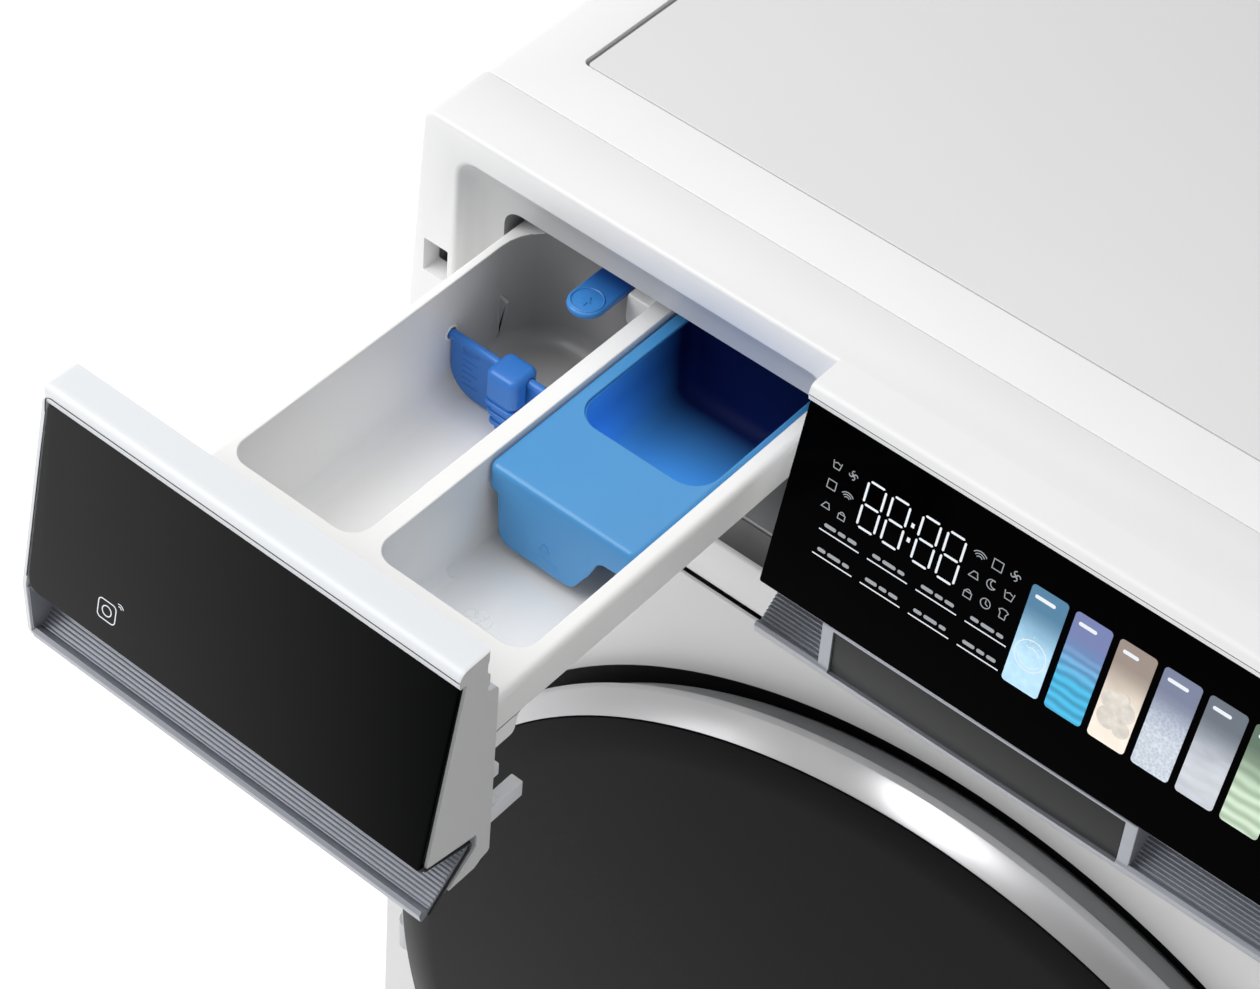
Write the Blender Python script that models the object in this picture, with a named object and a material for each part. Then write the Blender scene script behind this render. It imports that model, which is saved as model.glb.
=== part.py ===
"""Front load washing machine: cabinet, door, drum, dispenser drawer and running gear.

Sizes are in millimetres. X runs from the centre line to the right, Y from the bay face to the back
and Z up from the floor. The detergent drawer is stored pulled open.
"""
import math

import bmesh
import bpy
from mathutils import Vector

MM = 0.001

# Cabinet
WIDTH = 595.0
HEIGHT = 850.0
BACK = 498.0
SHEET = 1.5
GAP = 0.3
HALF = WIDTH / 2
CONSOLE_BOTTOM = 698.0
STRIP_DEPTH = 33.0
TOP_BOTTOM = 817.0
REACH_BACK = 512.0
SIDE_LINE = [(-297.5, 18.0), (-297.5, 690.0), (-295.7, 751.0), (-293.4, 794.0), (-291.2, 834.0)]

# Sloping front of the console and of the drawer: (y, z) in the closed position
SEAM = (-16.9, 846.9)
GLASS_TOP = (-16.2, 842.4)
GLASS_BOTTOM = (-32.8, 760.2)
GLASS_THICK = 3.0
TROUGH_APEX = (-6.0, 752.0)
LIP = (-30.6, 730.4)
FRONT_FLOOR = 735.5
PANEL_LEFT = -93.0
PANEL_RIGHT = 287.5
CAP_THICK = 1.7
FRONT_LEFT = -287.5
FRONT_RIGHT = -94.4

# Drawer, closed position
DRAWER_OPEN = 184.0
TRAY_TOP = 805.4
TRAY_FLOOR = 750.0
TRAY_BOTTOM = 747.5
SOFT_FLOOR = 761.0
SOFT_LOW_RIGHT = -125.0
SOFT_BEND = 784.0
TRAY_LEFT = -253.0
TRAY_RIGHT = -102.0
TRAY_END = 214.0
CELL_FRONT = 34.0
CELL_END = 208.0
MAIN_CELL = (-249.0, -187.0)
SOFT_CELL = (-179.0, -109.5)
INSERT_FRONT = 95.5
INSERT_TOP = 804.0
FLAP_Y = 156.0
FLAP_PIVOT = 779.0
TAB_PIVOT = (207.0, 800.0)

# Clips on the back of the drawer's front: x, x, z, z and reach
SIDE_CLIPS = ((-101.0, -95.6, 751.0, 759.0, 22.5), (-101.0, -97.5, 772.0, 778.0, 11.0))
CATCH = (-286.0, -277.5, 771.0, 782.0, 15.0)

# Dispenser housing and its opening in the bay
OPENING = (-255.0, -99.5, 733.5, 816.5)
RECESS = (-272.5, -97.0, 728.0, 835.3)
RECESS_DEPTH = 8.0
HOUSING = (-258.0, -96.5, 733.0, 822.0)
HOUSING_END = 240.0
SPOUT = (-176.0, 205.0)

# Door, drum and tub, all about one axis
AXIS_Z = 408.6
AXIS = (0.0, AXIS_Z)
DOOR_SIDES = 40
TUB_SIDES = 32
DRUM_SIDES = 32
RING_OUT = 272.0
GLASS_R = 265.0
RING_FRONT = -28.0
RING_BACK = -12.5
DISH_R = 273.4
DISH_FLOOR = 10.0
PANEL_FACE = -2.0
MOUTH_R = 185.0
HINGE = (-266.0, -19.0)
KNUCKLES = ((356.0, 374.0), (443.0, 461.0))
HOOK = (224.0, -2.0)
TUB_R = 270.0
TUB_IN = 266.0
TUB_JOIN = 238.0
TUB_END = 403.0
DRUM_R = 252.0
DRUM_FRONT = 72.0
DRUM_END = 372.0
SHAFT_R = 15.0

# Running gear
SPRING = (250.0, 290.0, 556.3, 789.7)
DAMPER = (150.0, 265.0)
PUMP = (215.0, 80.0)
FLAP_HOLE = (158.0, 272.0, 47.0, 113.0)
FEET = ((-250.0, 45.0), (250.0, 45.0), (-250.0, 450.0), (250.0, 450.0))

FRONT_REACH = DRAWER_OPEN - GLASS_BOTTOM[0]
Y_MIDDLE = (REACH_BACK - FRONT_REACH) / 2

COLOURS = {
    "white_plastic": ((0.86, 0.87, 0.88), 0.35, 0.0),
    "white_paint": ((0.80, 0.81, 0.82), 0.40, 0.0),
    "grey_plastic": ((0.50, 0.51, 0.52), 0.45, 0.0),
    "black_glass": ((0.010, 0.011, 0.012), 0.08, 0.0),
    "clear_glass": ((0.75, 0.80, 0.80), 0.05, 0.0),
    "satin_trim": ((0.38, 0.40, 0.45), 0.30, 0.9),
    "silver_ring": ((0.66, 0.67, 0.68), 0.25, 0.9),
    "dark_plastic": ((0.035, 0.036, 0.038), 0.40, 0.0),
    "light_blue": ((0.10, 0.35, 0.70), 0.30, 0.0),
    "deep_blue": ((0.02, 0.13, 0.55), 0.30, 0.0),
    "stainless": ((0.62, 0.63, 0.64), 0.25, 1.0),
    "steel": ((0.45, 0.46, 0.47), 0.35, 1.0),
    "rubber": ((0.22, 0.23, 0.24), 0.70, 0.0),
    "cast_weight": ((0.30, 0.30, 0.30), 0.80, 0.4),
    "circuit": ((0.03, 0.20, 0.09), 0.50, 0.0),
    "copper": ((0.55, 0.25, 0.12), 0.40, 0.8),
}


def clear_scene():
    for item in list(bpy.data.objects):
        bpy.data.objects.remove(item, do_unlink=True)


def material(name):
    found = bpy.data.materials.get(name)
    if found:
        return found
    colour, roughness, metallic = COLOURS[name]
    made = bpy.data.materials.new(name)
    made.use_nodes = True
    shader = made.node_tree.nodes["Principled BSDF"]
    shader.inputs["Base Color"].default_value = (*colour, 1.0)
    shader.inputs["Roughness"].default_value = roughness
    shader.inputs["Metallic"].default_value = metallic
    return made


def solid(points, faces):
    """An unnamed object from millimetre points, with its faces turned outward."""
    mesh = bpy.data.meshes.new("shape")
    shape = bmesh.new()
    verts = [shape.verts.new((x * MM, (y - Y_MIDDLE) * MM, z * MM)) for x, y, z in points]
    for face in faces:
        shape.faces.new([verts[i] for i in face])
    bmesh.ops.recalc_face_normals(shape, faces=shape.faces)
    shape.to_mesh(mesh)
    shape.free()
    made = bpy.data.objects.new("shape", mesh)
    bpy.context.scene.collection.objects.link(made)
    return made


def along(axis, across, start):
    """The point at a distance along an axis, with its two coordinates across it in order."""
    a, b = across
    return {"X": (start, a, b), "Y": (a, start, b), "Z": (a, b, start)}[axis]


def prism(outline, axis, start, end):
    """A flat outline pushed from start to end along an axis."""
    count = len(outline)
    points = [along(axis, p, start) for p in outline] + [along(axis, p, end) for p in outline]
    sides = [(i, (i + 1) % count, (i + 1) % count + count, i + count) for i in range(count)]
    return solid(points, [tuple(range(count)), tuple(range(count, 2 * count))] + sides)


def box(x0, x1, y0, y1, z0, z1):
    return prism([(x0, y0), (x1, y0), (x1, y1), (x0, y1)], "Z", z0, z1)


def rod(x, y, z, radius, axis, start, end, sides=16):
    """A round bar along an axis; the centre's value on that axis is not used."""
    centre = {"X": (y, z), "Y": (x, z), "Z": (x, y)}[axis]
    turn = 2 * math.pi / sides
    ring = [(centre[0] + radius * math.cos(turn * i), centre[1] + radius * math.sin(turn * i))
            for i in range(sides)]
    return prism(ring, axis, start, end)


def lathe(profile, across, sides, axis="Y"):
    """Turn a closed profile of (radius, distance) about an axis through two coordinates across it.

    Points at radius 0 become poles.
    """
    points = []
    rows = []
    for radius, distance in profile:
        if radius == 0:
            rows.append([len(points)] * sides)
            points.append(along(axis, across, distance))
            continue
        rows.append([len(points) + i for i in range(sides)])
        for i in range(sides):
            angle = 2 * math.pi * i / sides
            spot = (across[0] + radius * math.cos(angle), across[1] + radius * math.sin(angle))
            points.append(along(axis, spot, distance))
    faces = []
    for here, there in zip(rows, rows[1:] + rows[:1]):
        for i in range(sides):
            j = (i + 1) % sides
            corners = [here[i], here[j], there[j], there[i]]
            face = [c for k, c in enumerate(corners) if c != corners[k - 1]]
            if len(set(face)) > 2:
                faces.append(tuple(face))
    return solid(points, faces)


def tube(route, radius, sides=8):
    """A round solid bar along a route of points, kept level with the route's own turning."""
    path = [Vector(p) for p in route]
    points = []
    side = None
    for i, here in enumerate(path):
        ahead = path[min(i + 1, len(path) - 1)] - path[max(i - 1, 0)]
        ahead.normalize()
        if side is None:
            side = ahead.orthogonal().normalized()
        side = (side - ahead * side.dot(ahead)).normalized()
        up = ahead.cross(side)
        for k in range(sides):
            angle = 2 * math.pi * k / sides
            points.append(tuple(here + (side * math.cos(angle) + up * math.sin(angle)) * radius))
    faces = [tuple(range(sides)), tuple(range(len(points) - sides, len(points)))]
    for i in range(len(path) - 1):
        for k in range(sides):
            n = (k + 1) % sides
            faces.append((i * sides + k, i * sides + n, (i + 1) * sides + n, (i + 1) * sides + k))
    return solid(points, faces)


def smooth_route(knots, steps=4):
    """A Catmull-Rom curve through the inner knots, with a straight run at each end."""
    ends = [knots[1]] + list(knots[1:-1]) + [knots[-2]]
    route = [tuple(knots[0])]
    for a, b, c, d in zip(ends, ends[1:], ends[2:], ends[3:]):
        for i in range(steps):
            t = i / steps
            route.append(tuple(
                0.5 * (2 * b[k] + (c[k] - a[k]) * t + (2 * a[k] - 5 * b[k] + 4 * c[k] - d[k]) * t ** 2
                       + (3 * b[k] - a[k] - 3 * c[k] + d[k]) * t ** 3) for k in range(3)))
    return route + [tuple(knots[-2]), tuple(knots[-1])]


def rounded(x0, x1, z0, z1, radius, steps=4):
    """A rectangle's outline with round corners."""
    outline = []
    for cx, cz, first in ((x1 - radius, z1 - radius, 0), (x0 + radius, z1 - radius, 90),
                          (x0 + radius, z0 + radius, 180), (x1 - radius, z0 + radius, 270)):
        for i in range(steps + 1):
            angle = math.radians(first + 90 * i / steps)
            outline.append((cx + radius * math.cos(angle), cz + radius * math.sin(angle)))
    return outline


def loft(rings):
    """Outlines of (x, y), each at its own height, joined into one closed block."""
    count = len(rings[0][1])
    points = [(x, y, z) for z, outline in rings for x, y in outline]
    faces = [tuple(range(count)), tuple(range(len(points) - count, len(points)))]
    for first in range(0, len(points) - count, count):
        for i in range(count):
            j = (i + 1) % count
            faces.append((first + i, first + j, first + j + count, first + i + count))
    return solid(points, faces)


def funnel(front, front_y, back, back_y, radius):
    """A block whose rounded front outline narrows to its back outline."""
    outer = rounded(*front, radius)
    inner = rounded(*back, radius)
    count = len(outer)
    points = [(x, front_y, z) for x, z in outer] + [(x, back_y, z) for x, z in inner]
    sides = [(i, (i + 1) % count, (i + 1) % count + count, i + count) for i in range(count)]
    return solid(points, [tuple(range(count)), tuple(range(count, 2 * count))] + sides)


def combine(base, others, operation):
    """Apply exact Booleans one after another and take the tools away."""
    for other in others:
        change = base.modifiers.new("combine", "BOOLEAN")
        change.operation = operation
        change.solver = "EXACT"
        change.object = other
        bpy.context.view_layer.update()
        graph = bpy.context.evaluated_depsgraph_get()
        result = bpy.data.meshes.new_from_object(base.evaluated_get(graph))
        base.modifiers.clear()
        base.data = result
        bpy.data.objects.remove(other, do_unlink=True)
    return base


def cut(base, *others):
    return combine(base, others, "DIFFERENCE")


def join(base, *others):
    return combine(base, others, "UNION")


def name_part(item, name, colour, origin=None):
    """Name a finished object, give it its material and put its origin on its joint's axis."""
    item.name = name
    item.data.name = name
    item.data.materials.clear()
    item.data.materials.append(material(colour))
    if origin:
        x, y, z = origin
        place = Vector((x * MM, (y - Y_MIDDLE) * MM, z * MM))
        for vertex in item.data.vertices:
            vertex.co -= place
        item.location = place
    return item


def slid(outline, shift):
    """Move an outline of (y, z) forward by the drawer's opening."""
    return [(y - shift, z) for y, z in outline]


def behind(z, depth):
    """The point at a height, set back from the sloping glass by a depth square to it."""
    slope = (GLASS_BOTTOM[0] - GLASS_TOP[0]) / (GLASS_BOTTOM[1] - GLASS_TOP[1])
    return GLASS_TOP[0] + slope * (z - GLASS_TOP[1]) + depth * math.hypot(1, slope), z


def front_outline(back_top, back_low):
    """The sloping front's side view: top, seam, glass seat, trough seat and foot."""
    seat = GLASS_THICK + GAP
    apex_y, apex_z = TROUGH_APEX
    return [(back_top, HEIGHT), (-9.0, HEIGHT), (-14.0, HEIGHT - 1.0), SEAM,
            (SEAM[0] + 0.4, GLASS_TOP[1] + 0.9), behind(GLASS_TOP[1] + 0.9, seat),
            behind(GLASS_BOTTOM[1] - 0.3, seat), (apex_y + 2.5, apex_z + 2.2),
            (apex_y + 2.5, apex_z - 4.4), (LIP[0] + 12.9, FRONT_FLOOR + 0.4),
            (LIP[0] + 13.3, FRONT_FLOOR), (-4.0, FRONT_FLOOR), (-1.5, FRONT_FLOOR + 1.4),
            (back_low, FRONT_FLOOR + 5.0)]


def cap_outline(back):
    """The side view of the thin cap that closes an end of the glass and trough."""
    return [(back, HEIGHT), (-9.0, HEIGHT), (-14.0, HEIGHT - 1.0), SEAM, GLASS_TOP, GLASS_BOTTOM,
            (LIP[0] - 1.4, LIP[1] + 4.0), LIP, (LIP[0] + 13.3, FRONT_FLOOR - 1.2), (-4.0, FRONT_FLOOR),
            (-1.5, FRONT_FLOOR + 1.4), (back, FRONT_FLOOR + 5.0)]


# ---------------------------------------------------------------- cabinet


def cabinet_shell():
    inner = [(x + SHEET, z) for x, z in SIDE_LINE]
    edge = (-292.2, TOP_BOTTOM - 1)
    wall = SIDE_LINE[:4] + [edge, (edge[0] + SHEET, edge[1])] + inner[:4][::-1]
    left = prism(wall, "Y", -0.2, BACK)
    right = prism([(-x, z) for x, z in wall], "Y", -0.2, BACK)
    outer = SIDE_LINE[:4] + [edge] + [(-edge[0], edge[1])] + [(-x, z) for x, z in SIDE_LINE[:4][::-1]]
    rear = prism(outer, "Y", BACK - SHEET, BACK)
    shell = join(left, rear, right)
    for side in (-1, 1):
        x0, x1 = sorted((side * (HALF - 20), side * (HALF - 0.8)))
        join(shell, box(x0, x1, -0.2, SHEET - 0.2, 60, 688))
        x0, x1 = sorted((side * (SPRING[0] - 14), side * (HALF - 4)))
        join(shell, box(x0, x1, SPRING[1] - 10, SPRING[1] + 10, SPRING[3] + GAP, SPRING[3] + 6))
    for side in (-1, 1):
        x0, x1 = sorted((side * 288, side * 305))
        cut(shell, box(x0, x1, -2, STRIP_DEPTH + GAP, CONSOLE_BOTTOM - GAP, 900))
    cut(shell, rod(0, 0, AXIS_Z, 165, "Y", BACK - 20, BACK + 5, 32),
        rod(-210, 0, 790, 13, "Y", BACK - 20, BACK + 5, 12),
        rod(255, 0, 740, 12, "Y", BACK - 20, BACK + 5, 12),
        rod(200, 0, 790, 9, "Y", BACK - 20, BACK + 5, 12))
    return name_part(shell, "cabinet_shell", "white_paint")


def base_tray():
    tray = box(-295.4, 295.4, 2, BACK - 2, 15, 42)
    cut(tray, box(-291.5, 291.5, 6, BACK - 6, 19, 60))
    for x, y in FEET:
        join(tray, rod(x, y, 0, 12, "Z", 16, 34, 12))
        cut(tray, rod(x, y, 0, 5.4, "Z", 10, 40, 12))
    for side in (-1, 1):
        x, y = side * DAMPER[0], DAMPER[1]
        join(tray, box(x - 14, x + 14, y - 14, y + 14, 18, 36))
    x, z = PUMP
    join(tray, box(x - 26, x + 26, 60, 130, 18, 40))
    cut(tray, rod(x, 0, z, 34.4, "Y", 40, 160, 24))
    return name_part(tray, "base_tray", "dark_plastic")


def front_panel():
    sheet = prism([(-297, 22), (297, 22), (297, CONSOLE_BOTTOM - 1.2), (-297, CONSOLE_BOTTOM - 1.2)],
                  "Y", PANEL_FACE, PANEL_FACE + SHEET)
    dish = lathe([(0, PANEL_FACE + 0.5), (DISH_R + 1.6, PANEL_FACE + 0.5), (DISH_R + 1.6, 0.2),
                  (DISH_R - 0.3, DISH_FLOOR + SHEET), (MOUTH_R + SHEET, DISH_FLOOR + SHEET),
                  (MOUTH_R + SHEET, 22), (0, 22)], AXIS, DOOR_SIDES)
    hollow = lathe([(0, -10), (DISH_R, -10), (DISH_R, PANEL_FACE + 0.3), (DISH_R - 2, DISH_FLOOR),
                    (MOUTH_R, DISH_FLOOR), (MOUTH_R, 30), (0, 30)], AXIS, DOOR_SIDES)
    cut(join(sheet, dish), hollow)
    x0, x1, z0, z1 = FLAP_HOLE
    cut(sheet, box(x0, x1, -10, 5, z0, z1))
    cut(sheet, box(HOOK[0] - 10, HOOK[0] + 13, DISH_FLOOR - 3, 16, 400, 417))
    return name_part(sheet, "front_panel", "white_paint")


def side_profile(inset, low):
    """The tapering side of console and worktop, mirrored into a closed outline."""
    left = [(-297.2 + inset, 700.0), (-295.7 + inset, 751.0), (-293.4 + inset, 794.0)]
    left = [p for p in left if p[1] > low]
    spread = {CONSOLE_BOTTOM: -297.3, TOP_BOTTOM: -292.2}[low]
    left = [(spread + inset, low)] + left
    left += [(-291.2 + inset, 834.0), (-290.2 + inset, 844.0), (-288.9 + inset, 848.6),
             (-286.5 + inset, HEIGHT)]
    return left + [(-x, z) for x, z in left[::-1]]


def clip_slot(clip):
    """The pocket that a clip of the drawer's front enters when the drawer is shut."""
    x0, x1, z0, z1, reach = clip
    return box(x0 - 2, x1 + 0.8, -1, reach + 4, z0 - 2, z1 + 2)


def console_body():
    body = prism(side_profile(0, CONSOLE_BOTTOM), "Y", 0, STRIP_DEPTH)
    join(body, prism(front_outline(STRIP_DEPTH - 5, STRIP_DEPTH - 5), "X", PANEL_LEFT, PANEL_RIGHT))
    join(body, prism(cap_outline(STRIP_DEPTH - 5), "X", PANEL_RIGHT - CAP_THICK, PANEL_RIGHT))
    cavity = [(60, HEIGHT - 3.5), (-8, HEIGHT - 3.9), behind(GLASS_TOP[1], 7),
              behind(GLASS_BOTTOM[1] + 3, 7), (TROUGH_APEX[0] + 9, TROUGH_APEX[1] + 8),
              (TROUGH_APEX[0] + 9, 690), (60, 690)]
    cut(body, prism(cavity, "X", PANEL_LEFT + 3, PANEL_RIGHT - 3))
    cut(body, box(-290, PANEL_LEFT, RECESS_DEPTH + 0.5, 60, 690, HEIGHT - 3))
    cut(body, funnel(RECESS, -0.5, OPENING, RECESS_DEPTH, 9))
    cut(body, prism(rounded(*OPENING, 8), "Y", 4, 20))
    for clip in (*SIDE_CLIPS, CATCH):
        cut(body, clip_slot(clip))
    return name_part(body, "console_body", "white_plastic")


def worktop_frame():
    frame = prism(side_profile(0, TOP_BOTTOM), "Y", STRIP_DEPTH + GAP, BACK)
    cut(frame, box(-286, 286, 0, BACK - 4, TOP_BOTTOM - 5, HEIGHT - 4))
    cut(frame, prism(rounded(-264.2, 264.2, 62.8, 486, 3), "Z", HEIGHT - 1.6, HEIGHT + 5))
    return name_part(frame, "worktop_frame", "white_plastic")


def worktop_sheet():
    return name_part(prism(rounded(-262.2, 263.8, 63.2, 485.4, 2.2), "Z", HEIGHT - 1.3, HEIGHT - 0.1),
                     "worktop_sheet", "white_paint")


def glass_outline():
    return [GLASS_TOP, GLASS_BOTTOM, behind(GLASS_BOTTOM[1], GLASS_THICK),
            behind(GLASS_TOP[1], GLASS_THICK)]


def panel_glass():
    return name_part(prism(glass_outline(), "X", PANEL_LEFT + 0.6, PANEL_RIGHT - 2.2),
                     "panel_glass", "black_glass")


def trough_outline():
    """The finger trough's section: upper leg, apex, ribbed lower leg and lip."""
    glass_y, glass_z = GLASS_BOTTOM
    apex_y, apex_z = TROUGH_APEX
    root = (apex_y - 2.0, apex_z - 0.6)
    lower = (LIP[0] + 2.0, LIP[1] + 2.8)
    outline = [(glass_y + 0.6, glass_z - 0.7), (apex_y - 2.0, apex_z)]
    ribs = 6
    for i in range(ribs):
        for part, lift in ((0.15, 0.0), (0.35, 1.1), (0.65, 1.1), (0.85, 0.0)):
            t = (i + part) / ribs
            outline.append((root[0] + (lower[0] - root[0]) * t - 0.6 * lift,
                            root[1] + (lower[1] - root[1]) * t + 0.7 * lift))
    return outline + [(LIP[0] - 0.8, LIP[1] + 5.0), (LIP[0] - 1.4, LIP[1] + 4.0), LIP,
                      (LIP[0] + 1.2, LIP[1] - 0.6), (LIP[0] + 11.8, FRONT_FLOOR),
                      (apex_y + 1.9, apex_z - 3.8), (apex_y + 1.9, apex_z + 1.4),
                      (glass_y + 3.4, glass_z - 1.2)]


def plate_span():
    return -58.0, 71.0


def panel_trim():
    trim = prism(trough_outline(), "X", PANEL_LEFT + 0.6, PANEL_RIGHT - 3.5)
    x0, x1 = plate_span()
    block = [(GLASS_BOTTOM[0] + 1.2, GLASS_BOTTOM[1] - 1.1), (TROUGH_APEX[0], TROUGH_APEX[1] - 1),
             (LIP[0] + 3.0, LIP[1] + 1.0), (LIP[0] + 0.2, LIP[1] + 3.0)]
    join(trim, prism(block, "X", x0 - 5, x1 + 5))
    seat = [(-40.0, 757.5), (-27.0, 757.5), (-26.0, 734.0), (-40.0, 734.0)]
    cut(trim, prism(seat, "X", x0, x1))
    return name_part(trim, "panel_trim", "satin_trim")


def trim_plate():
    x0, x1 = plate_span()
    face = [(-31.0, 757.2), (-27.3, 757.2), (-26.3, 734.3), (-30.0, 734.3)]
    return name_part(prism(face, "X", x0 + GAP, x1 - GAP), "trim_plate", "dark_plastic")


def display_board():
    board = [behind(836, 8), behind(768, 8), behind(768, 14), behind(836, 14)]
    return name_part(prism(board, "X", -80, 170), "display_board", "circuit")


def dispenser_housing():
    x0, x1, z0, z1 = HOUSING
    front = RECESS_DEPTH + 0.8
    shell = box(x0, x1, front, HOUSING_END, z0, z1)
    cut(shell, box(x0 + 2, x1 - 2, front - 5, HOUSING_END - 2, z0 + 2, z1 - 2))
    for clip in SIDE_CLIPS:
        cut(shell, clip_slot(clip))
    x, y = SPOUT
    join(shell, rod(x, y, 0, 17, "Z", 715, z0 + 1, 12))
    cut(shell, rod(x, y, 0, 14.5, "Z", 700, z0 + 1.9, 12))
    join(shell, rod(x, 0, 800, 8, "Y", HOUSING_END - 1, HOUSING_END + 8, 12))
    cut(shell, rod(x, 0, 800, 5.5, "Y", HOUSING_END - 1.9, HOUSING_END + 20, 12))
    return name_part(shell, "dispenser_housing", "grey_plastic")


def inlet_valve():
    body = box(-228, -192, 462, BACK - SHEET - GAP, 772, 808)
    join(body, rod(-210, 0, 790, 11.5, "Y", 480, REACH_BACK, 12))
    cut(body, rod(-210, 0, 790, 8.5, "Y", 499, REACH_BACK + 5, 12))
    join(body, rod(-210, 0, 790, 6.5, "Y", 446, 466, 12))
    return name_part(body, "inlet_valve", "white_plastic")


def fill_hose():
    route = smooth_route([(-210, 445.5, 790), (-210, 435, 790), (-206, 400, 791), (-180, 290, 799),
                          (-176, 262, 800), (-176, HOUSING_END + 8.5, 800)], 3)
    return name_part(tube(route, 6.5), "fill_hose", "rubber")


def mains_gland():
    gland = rod(200, 0, 790, 8.5, "Y", BACK - 8, BACK + 3, 12)
    join(gland, rod(200, 0, 790, 12, "Y", BACK + GAP, BACK + 4, 12))
    cut(gland, rod(200, 0, 790, 4, "Y", BACK - 20, BACK + 20, 12))
    return name_part(gland, "mains_gland", "dark_plastic")


def rear_cover():
    cover = lathe([(0, BACK + 9), (120, BACK + 9), (150, BACK + 6), (178, BACK + 2), (178, BACK + GAP),
                   (162, BACK + GAP), (148, BACK + 4), (120, BACK + 7), (0, BACK + 7)], AXIS, 32)
    return name_part(cover, "rear_cover", "white_paint")


def foot(index):
    shape = lathe([(0, 0), (19, 0), (20, 2), (20, 7), (9, 9.5), (9, 13), (5, 14), (5, 33), (0, 33)],
                  FEET[index], 12, "Z")
    return name_part(shape, f"foot_{index + 1}", "dark_plastic")


# ---------------------------------------------------------------- water and running gear


def drain_pump():
    x, z = PUMP
    body = lathe([(31, 30), (34, 30), (34, 140), (25, 142), (25, 188), (0, 188), (0, 120), (31, 120)],
                 PUMP, 24)
    join(body, rod(0, 110, z, 13, "X", x - 52, x - 28, 12))
    join(body, rod(x + 8, 110, 0, 9.5, "Z", z + 28, z + 52, 12))
    return name_part(body, "drain_pump", "grey_plastic")


def filter_cap():
    x, z = PUMP
    cap = lathe([(0, 12), (27, 12), (30.4, 14), (30.4, 28), (22, 28), (22, 90), (19, 90), (19, 24), (0, 24)],
                PUMP, 24)
    join(cap, box(x - 20, x + 20, 4, 13, z - 4, z + 4))
    return name_part(cap, "filter_cap", "grey_plastic", (x, 12, z))


def service_flap():
    x0, x1, z0, z1 = FLAP_HOLE
    flap = prism(rounded(x0 + 0.6, x1 - 0.6, z0 + 0.6, z1 - 0.6, 2), "Y", PANEL_FACE, 0.4)
    cut(flap, rod((x0 + x1) / 2, 0, z1 + 4, 11, "Y", -10, 10, 16))
    return name_part(flap, "service_flap", "white_plastic", ((x0 + x1) / 2, -0.5, z0 + 2))


def sump_hose():
    x, z = PUMP
    route = smooth_route([(0, 340, 111.5), (0, 340, 102), (14, 325, 84), (60, 250, 72), (115, 140, 74),
                          (x - 70, 110, z), (x - 52.5, 110, z)], 3)
    return name_part(tube(route, 15), "sump_hose", "rubber")


def drain_hose():
    x, z = PUMP
    route = smooth_route([(x + 8, 110, z + 52.5), (x + 8, 110, z + 62), (x + 12, 130, z + 78),
                          (x + 26, 190, z + 82),
                          (258, 430, 170), (262, 470, 230), (262, 474, 480), (262, 474, 690),
                          (257, 486, 732), (255, 496, 740), (255, BACK + 9, 740)], 3)
    return name_part(tube(route, 9.5), "drain_hose", "rubber")


def ear_cut():
    return rod(0, 0, AXIS_Z, TUB_IN + 1, "Y", 0, 500, TUB_SIDES)


def tub_front():
    shell = lathe([(MOUTH_R, 46), (MOUTH_R + 3.4, 46), (MOUTH_R + 3.4, 60), (TUB_R, 60), (TUB_R, 233),
                   (TUB_R + 5, 233), (TUB_R + 5, TUB_JOIN - GAP), (TUB_IN, TUB_JOIN - GAP), (TUB_IN, 63.5),
                   (MOUTH_R, 63.5)], AXIS, TUB_SIDES)
    x, y = SPOUT
    stub = rod(x, y, 0, 17, "Z", 590, 648, 12)
    cut(stub, ear_cut())
    join(shell, stub)
    cut(shell, rod(x, y, 0, 14.5, "Z", 560, 700, 12))
    return name_part(shell, "tub_front", "grey_plastic")


def tub_rear():
    shell = lathe([(TUB_IN, TUB_JOIN), (TUB_R + 5, TUB_JOIN), (TUB_R + 5, TUB_JOIN + 4.4),
                   (TUB_R, TUB_JOIN + 4.4), (TUB_R, TUB_END), (42, TUB_END), (42, 432), (30.5, 432),
                   (30.5, 392), (42, 392), (42, TUB_END - 4.5), (TUB_IN, TUB_END - 4.5)], AXIS, TUB_SIDES)
    parts = [box(-45, 45, 305, 375, 126, 175)]
    for side in (-1, 1):
        x = side * DAMPER[0]
        parts.append(box(x - 12, x + 12, DAMPER[1] - 12, DAMPER[1] + 12, 166, 205))
        x0, x1 = sorted((side * 215, side * 262))
        parts.append(box(x0, x1, SPRING[1] - 10, SPRING[1] + 10, 540, SPRING[2] - GAP))
    for part in parts:
        join(shell, cut(part, ear_cut()))
    join(shell, rod(0, 340, 0, 17, "Z", 112, 130, 12))
    cut(shell, rod(0, 340, 0, 14, "Z", 100, 160, 12))
    return name_part(shell, "tub_rear", "grey_plastic")


def counterweight_front():
    ring = lathe([(193, 34), (263, 34), (263, 59.6), (193, 59.6)], AXIS, 32)
    return name_part(ring, "counterweight_front", "cast_weight")


def motor_stator():
    ring = lathe([(70, TUB_END + GAP), (108, TUB_END + GAP), (108, 430), (70, 430)], AXIS, 24)
    return name_part(ring, "motor_stator", "copper")


def motor_rotor():
    cup = lathe([(SHAFT_R + GAP, 438), (110.5, 438), (110.5, 408), (116, 408), (116, 446),
                 (30, 446), (30, 456), (SHAFT_R + GAP, 456)], AXIS, 24)
    return name_part(cup, "motor_rotor", "steel", (0, 440, AXIS_Z))


def drum_bearing():
    ring = lathe([(SHAFT_R + GAP, 394), (30.1, 394), (30.1, 430), (SHAFT_R + GAP, 430)], AXIS, 20)
    return name_part(ring, "drum_bearing", "steel")


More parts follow.
